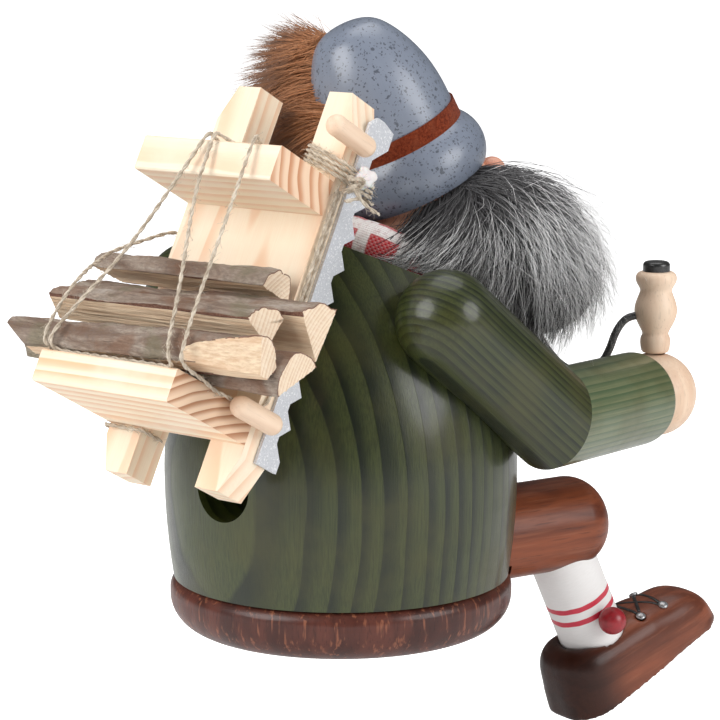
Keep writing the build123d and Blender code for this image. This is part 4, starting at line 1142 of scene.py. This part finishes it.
def makePlume():
    chance = random.Random(plumeFur["seed"])
    place = places["plume"]
    pelt = cleanCopy("plumePeltCore", "hat_plume")
    addModifier(pelt, "REMESH", mode="VOXEL", voxel_size=plumeFur["voxel"])
    applyModifiers(pelt)
    thin, low, short = plumeFur["peltShare"]
    for vertex in pelt.data.vertices:
        local = place.inverted() @ vertex.co
        vertex.co = place @ Vector((local.x * thin, local.y * low + plumeFur["peltOut"], local.z * short))
    coat(pelt, "plumePelt")
    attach(pelt, bodyName)
    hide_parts("hat_plume")
    half = np.array(plumeFur["half"])
    turn = np.array(place.to_3x3())
    centre = np.array(place.to_translation())
    clumps = [(chance.gauss(0, 1), chance.random(), chance.gauss(0, 16)) for _ in range(plumeFur["clumps"])]
    paths, tones = [], []
    hatInverse = np.array(places["hat"].inverted())
    first, sweep = plumeFur["fan"]
    hatWide, hatHigh = plumeFur["hatRoom"]
    while len(paths) < plumeFur["hairs"]:
        depth, along, lean = clumps[chance.randrange(len(clumps))]
        along = min(max(along + chance.gauss(0, 0.05), 0), 1)
        angle = math.radians(first + sweep * along + lean + chance.gauss(0, 6))
        reach = (0.62 + 0.38 * chance.random() ** 0.6) * (1.0 + 0.5 * chance.random() ** 1.3)
        wide = max(min(depth * 0.42 + chance.gauss(0, 0.1), 0.95), -0.95)
        flat = math.sqrt(1 - wide * wide)
        tip = centre + turn @ (np.array((wide, -math.cos(angle) * flat, math.sin(angle) * flat)) * half * reach)
        root = centre + turn @ np.array((wide * plumeFur["rootWide"] + chance.gauss(0, 0.0008),
                                         plumeFur["rootOut"] + chance.uniform(0, 0.002),
                                         plumeFur["rootFoot"] + plumeFur["rootLength"] * along))
        local = within(hatInverse, tip)
        if np.hypot(local[0], local[1]) < hatWide and local[2] < hatHigh:
            continue
        middle = (root + tip) / 2 + turn @ np.array((chance.gauss(0, 0.0012), chance.gauss(0, 0.0012),
                                                     plumeFur["bulge"] * math.cos(angle)))
        far = tip + scatter(chance, 0.001)
        paths.append(hairPath(root, middle, far, plumeFur["rings"], plumeFur["sag"]))
        tones.append(chance.random())
    paths, order = clumped(paths, chance, 9, 0.7)
    widths = [plumeFur["width"] * chance.uniform(0.6, 1.3) for _ in range(len(paths))]
    fur = hairMesh("plumeHair", paths, widths, np.array(tones)[order], "plumeHair")
    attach(fur, bodyName)


makeBeard()
makePlume()
print("stage: fur combed")

scarfCloth = {"ring": 0.021, "half": (0.004, 0.0052), "rise": 0.0034, "steps": 150, "profile": 26, "wrinkle": 0.0007,
              "thick": 0.0004, "from": -48, "sweep": 266, "curl": 0.74}


def makeScarf():
    s = scarfCloth
    place = places["neck"] @ Matrix.Translation((*places["neckFoot"], 0))
    obj = started("scarfFolds", bpy.ops.mesh.primitive_grid_add, x_subdivisions=s["steps"],
                  y_subdivisions=s["profile"], size=1, calc_uvs=True)
    around = 2 * math.pi * s["ring"]
    fold = 2 * math.pi * sum(s["half"]) / 2 * s["curl"]
    layer = obj.data.uv_layers.active
    layer.name = "cloth"
    for loop in obj.data.loops:
        co = obj.data.vertices[loop.vertex_index].co
        layer.data[loop.index].uv = ((co.x + 0.5) * around, (co.y + 0.5) * fold)
    for vertex in obj.data.vertices:
        share, across = vertex.co.x + 0.5, vertex.co.y + 0.5
        turn = share * 2 * math.pi
        angle = math.radians(s["from"] + s["sweep"] * across)
        ripple = noise.noise(Vector((math.cos(turn) * 5, math.sin(turn) * 5, across * 3.2)))
        crease = math.sin(turn * 9 + across * 5) * 0.25 + math.sin(turn * 4 - across * 7) * 0.3
        grow = (ripple + crease * 0.6) * s["wrinkle"]
        radius = s["ring"] + math.cos(angle) * (s["half"][0] + grow)
        height = s["rise"] + math.sin(angle) * (s["half"][1] + grow * 0.8)
        vertex.co = Vector((math.cos(turn) * radius, math.sin(turn) * radius, height))
    obj.matrix_world = place
    applyPlace(obj)
    inEdit(lambda: mergeClose(0.0001), turnOutward)
    bpy.ops.object.shade_smooth()
    addModifier(obj, "SOLIDIFY", thickness=s["thick"], offset=-1)
    applyModifiers(obj)
    coat(obj, "scarf")
    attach(obj, bodyName)
    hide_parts("scarf")


makeScarf()
print("stage: scarf folded")

pipe = {
    "foot": (-0.042, -0.08, 0.0647), "steps": 64,
    # radius and height of the turned bowl, in millimetres
    "profile": [(0, 0.0), (3.2, 0.0), (3.7, 0.5), (3.95, 1.6), (4.1, 3.2), (3.95, 4.3), (3.45, 5.0), (3.5, 5.6),
        (4.4, 7.2), (5.3, 9.0), (5.75, 10.8), (5.7, 12.4), (5.2, 14.2), (4.5, 15.8), (4.2, 16.7), (4.35, 17.4),
        (4.95, 18.3), (5.45, 19.3), (5.55, 20.2), (5.3, 21.1), (4.7, 21.7), (3.8, 22.0), (0, 22.0)],
    "stemRadius": 0.00105, "stemStep": 0.0005, "stemSides": 16,
    # the stem's way from the bowl to the mouth, in millimetres
    "stem": [(-38.6, -76.6, 74.8), (-37.2, -75.2, 74.6), (-35.6, -73.8, 73.2), (-34.2, -72.4, 70.0),
        (-33.4, -71.4, 66.0), (-32.0, -70.0, 62.2), (-29.0, -66.5, 59.4), (-25.6, -61.5, 61.0), (-22.9, -57.0, 66.5),
        (-20.6, -53.6, 74.0), (-18.6, -51.0, 80.5), (-16.2, -46.8, 88.6)],
}


def makePipe():
    clearSelection()
    data = bpy.data.meshes.new("pipeBowlTurned")
    bowl = linked("pipeBowlTurned", data)
    line = [Vector((r, 0, z)) / 1000 + Vector(pipe["foot"]) for r, z in pipe["profile"]]
    data.from_pydata([tuple(v) for v in line], [(k, k + 1) for k in range(len(line) - 1)], [])
    makeActive(bowl)
    inEdit(lambda: bpy.ops.mesh.spin(steps=pipe["steps"], angle=2 * math.pi, center=pipe["foot"], axis=(0, 0, 1)),
           lambda: mergeClose(0.00002), turnOutward)
    addModifier(bowl, "SUBSURF", levels=1, render_levels=1)
    applyModifiers(bowl)
    bpy.ops.object.shade_smooth()
    coat(bowl, "palePlain")
    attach(bowl, bodyName)
    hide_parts("pipe_bowl")
    line, wanted = evenly(splinePoints(pipe["stem"], Matrix.Identity(4)), pipe["stemStep"])
    stem = strandMesh("pipeStemWire", [plyTube(line, wanted, 0, pipe["stemRadius"], 0, 1, pipe["stemSides"], 0.5)],
                      "wire")
    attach(stem, bodyName)
    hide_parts("pipe_stem")


makePipe()
print("stage: pipe turned")

bootShape = {"voxel": 0.0007, "rounds": 200, "toeReach": 0.0016, "soleFrom": -0.0125, "soleShare": 0.12,
             "toeFrom": 0.014, "heelFrom": -0.002, "heelLength": 0.01}


def makeBoot(side):
    # the carved boot with its edges rubbed round
    boot = cleanCopy(side + "BootForm", side + "_boot")
    addModifier(boot, "REMESH", mode="VOXEL", voxel_size=bootShape["voxel"])
    applyModifiers(boot)
    inverse = places[side + "Boot"].inverted()
    group = boot.vertex_groups.new(name="rubbed")
    for vertex in boot.data.vertices:
        local = inverse @ vertex.co
        toe = min(max(local.x / bootShape["toeFrom"] - 1, 0), 1)
        heel = min(max((bootShape["heelFrom"] - local.x) / bootShape["heelLength"], 0), 1)
        share = max(toe ** 0.7, heel * 0.35, 0.02)
        if local.z < bootShape["soleFrom"]:
            share *= bootShape["soleShare"]
        group.add([vertex.index], share, "REPLACE")
        local.x += bootShape["toeReach"] * toe
        vertex.co = places[side + "Boot"] @ local
    addModifier(boot, "SMOOTH", factor=0.9, iterations=bootShape["rounds"], vertex_group="rubbed")
    applyModifiers(boot)
    bpy.ops.object.shade_smooth()
    coat(boot, side + "Boot")
    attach(boot, bodyName)
    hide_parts(side + "_boot")
    return boot


def downOn(side):
    return (-places[side + "Boot"].to_3x3().col[2]).normalized()


laceShape = {"width": 0.0009, "rows": (0.0125, 0.0208), "reach": 0.0066, "lift": 0.00012, "steps": 26}


def makeLaces(side, boot):
    strips, down = [], downOn(side)
    low, high = laceShape["rows"]
    reach = laceShape["reach"]
    lines = [((low, -reach), (low, reach)), ((high, -reach), (high, reach)), ((low, -reach), (high, reach)),
             ((low, reach), (high, -reach))]
    for a, b in lines:
        start, end = Vector((*a, 0.003)), Vector((*b, 0.003))
        run = end - start
        strip = started("strip", bpy.ops.mesh.primitive_grid_add, x_subdivisions=laceShape["steps"],
                        y_subdivisions=2, size=1)
        turn = Matrix.Rotation(math.atan2(run.y, run.x), 4, "Z")
        strip.matrix_world = (places[side + "Boot"] @ Matrix.Translation((start + end) / 2) @ turn
                              @ Matrix.Diagonal((run.length, laceShape["width"], 1, 1)))
        applyPlace(strip)
        for vertex in strip.data.vertices:
            hit, where, normal, _ = boot.ray_cast(vertex.co, down)
            if hit:
                vertex.co = where + normal * laceShape["lift"]
        strips.append(strip)
    laces = joined(side + "Laces", strips)
    addModifier(laces, "SOLIDIFY", thickness=0.0001)
    applyModifiers(laces)
    bpy.ops.object.shade_smooth()
    coat(laces, "lace")
    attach(laces, bodyName)


nailShape = {"radius": 0.00135, "height": 0.0006, "reach": 0.0017,
             "places": [(0.0125, -0.0067), (0.0125, 0.0067), (0.0208, -0.0063), (0.0208, 0.0063)]}


def makeNails(side, boot):
    # four round nail heads beside the laces
    nails, down = [], downOn(side)
    for along, across in nailShape["places"]:
        found = [boot.ray_cast(places[side + "Boot"] @ Vector((along + step, across, 0.03)), down)
                 for step in (-nailShape["reach"], nailShape["reach"])]  # on both sides of the nail's hole
        where = (found[0][1] + found[1][1]) / 2
        normal = (found[0][2] + found[1][2]).normalized()
        nail = started("nail", bpy.ops.mesh.primitive_uv_sphere_add, segments=24, ring_count=12,
                       radius=nailShape["radius"])
        turn = normal.to_track_quat("Z", "Y").to_matrix().to_4x4()
        flat = Matrix.Diagonal((1, 1, nailShape["height"] / nailShape["radius"], 1))
        nail.matrix_world = Matrix.Translation(where + normal * nailShape["height"] * 0.5) @ turn @ flat
        applyPlace(nail)
        nails.append(nail)
    nails = joined(side + "Nails", nails)
    bpy.ops.object.shade_smooth()
    coat(nails, "steel")
    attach(nails, bodyName)
    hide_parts(side + "_boot_eyelets")


for side in ("right", "left"):
    boot = makeBoot(side)
    makeLaces(side, boot)
    makeNails(side, boot)

glueShape = {"spot": (-25.6, -6.4, 83.4), "size": (0.0017, 0.0032, 0.0026), "bumps": 1.6, "bumpDepth": 0.45}


def makeGlue():
    blob = started("glueBlob", bpy.ops.mesh.primitive_ico_sphere_add, subdivisions=4, radius=1)
    for vertex in blob.data.vertices:
        bump = 1 + noise.noise(vertex.co * glueShape["bumps"] + Vector((4, 2, 7))) * glueShape["bumpDepth"]
        vertex.co = Vector([c * bump * size for c, size in zip(vertex.co, glueShape["size"])])
    blob.matrix_world = places["carrier"] @ Matrix.Translation(Vector(glueShape["spot"]) / 1000)
    applyPlace(blob)
    bpy.ops.object.shade_smooth()
    coat(blob, "glue")
    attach(blob, bodyName)


makeGlue()
print("stage: laces and glue")

studio = {
    "camera": (-0.44996, 0.52532, 0.18591), "right": (-0.76407, -0.64514, 0.0), "up": (0.10802, -0.12794, 0.98588),
    "back": (-0.63603, 0.75328, 0.16744), "lens": 137.69, "floor": -0.046, "floorSize": 60.0, "fill": 0.5, "gloss": 0.1,
    "glow": 0.8,
    "lamps": [((0.26, 0.98, 0.62), 0.85, 10.0), ((-1.05, -0.22, 0.5), 0.75, 7.0), ((0.1, -0.2, 1.05), 0.9, 4.0)],
}


def makeStudio():
    scene = bpy.context.scene
    camera = linked("camera", bpy.data.cameras.new("camera"))
    camera.matrix_world = localMatrix(studio["camera"], studio["right"], studio["up"], studio["back"])
    camera.data.lens = studio["lens"]
    camera.data.sensor_width = 36.0
    camera.data.clip_start = 0.02
    camera.data.clip_end = 20.0
    scene.camera = camera
    for k, (spot, size, power) in enumerate(studio["lamps"]):
        lamp = linked("lamp%d" % k, bpy.data.lights.new("lamp%d" % k, "AREA"))
        lamp.location = spot
        lamp.rotation_euler = (Vector((0, 0, 0.07)) - Vector(spot)).to_track_quat("-Z", "Y").to_euler()
        lamp.data.shape = "DISK"
        lamp.data.size = size
        lamp.data.energy = power
    floor = started("floor", bpy.ops.mesh.primitive_plane_add, size=studio["floorSize"],
                    location=(0, 0, studio["floor"]))
    newMaterial("paleFloor")
    glow = times(put("LightPath").outputs["Is Camera Ray"], studio["glow"])
    floor.data.materials.append(setShader(Base_Color=(0.86, 0.86, 0.86, 1), Roughness=0.9, Specular_IOR_Level=0.1,
                                          Emission_Color=(1, 1, 1, 1), Emission_Strength=glow))
    world = bpy.data.worlds.new("studio")
    scene.world = world
    world.use_nodes = True
    work["tree"] = world.node_tree
    path = put("LightPath").outputs
    plain = calc("MAXIMUM", path["Is Camera Ray"], path["Is Transmission Ray"])
    around = put("MapRange", {0: path["Is Glossy Ray"], 3: studio["fill"], 4: studio["gloss"]}).outputs[0]
    strength = put("MapRange", {0: plain, 3: around, 4: 1.0}).outputs[0]
    feed(world.node_tree.nodes["Background"], {"Strength": strength, "Color": (1, 1, 1, 1)})
    scene.view_settings.view_transform = "Standard"


makeStudio()
print("stage: studio set")
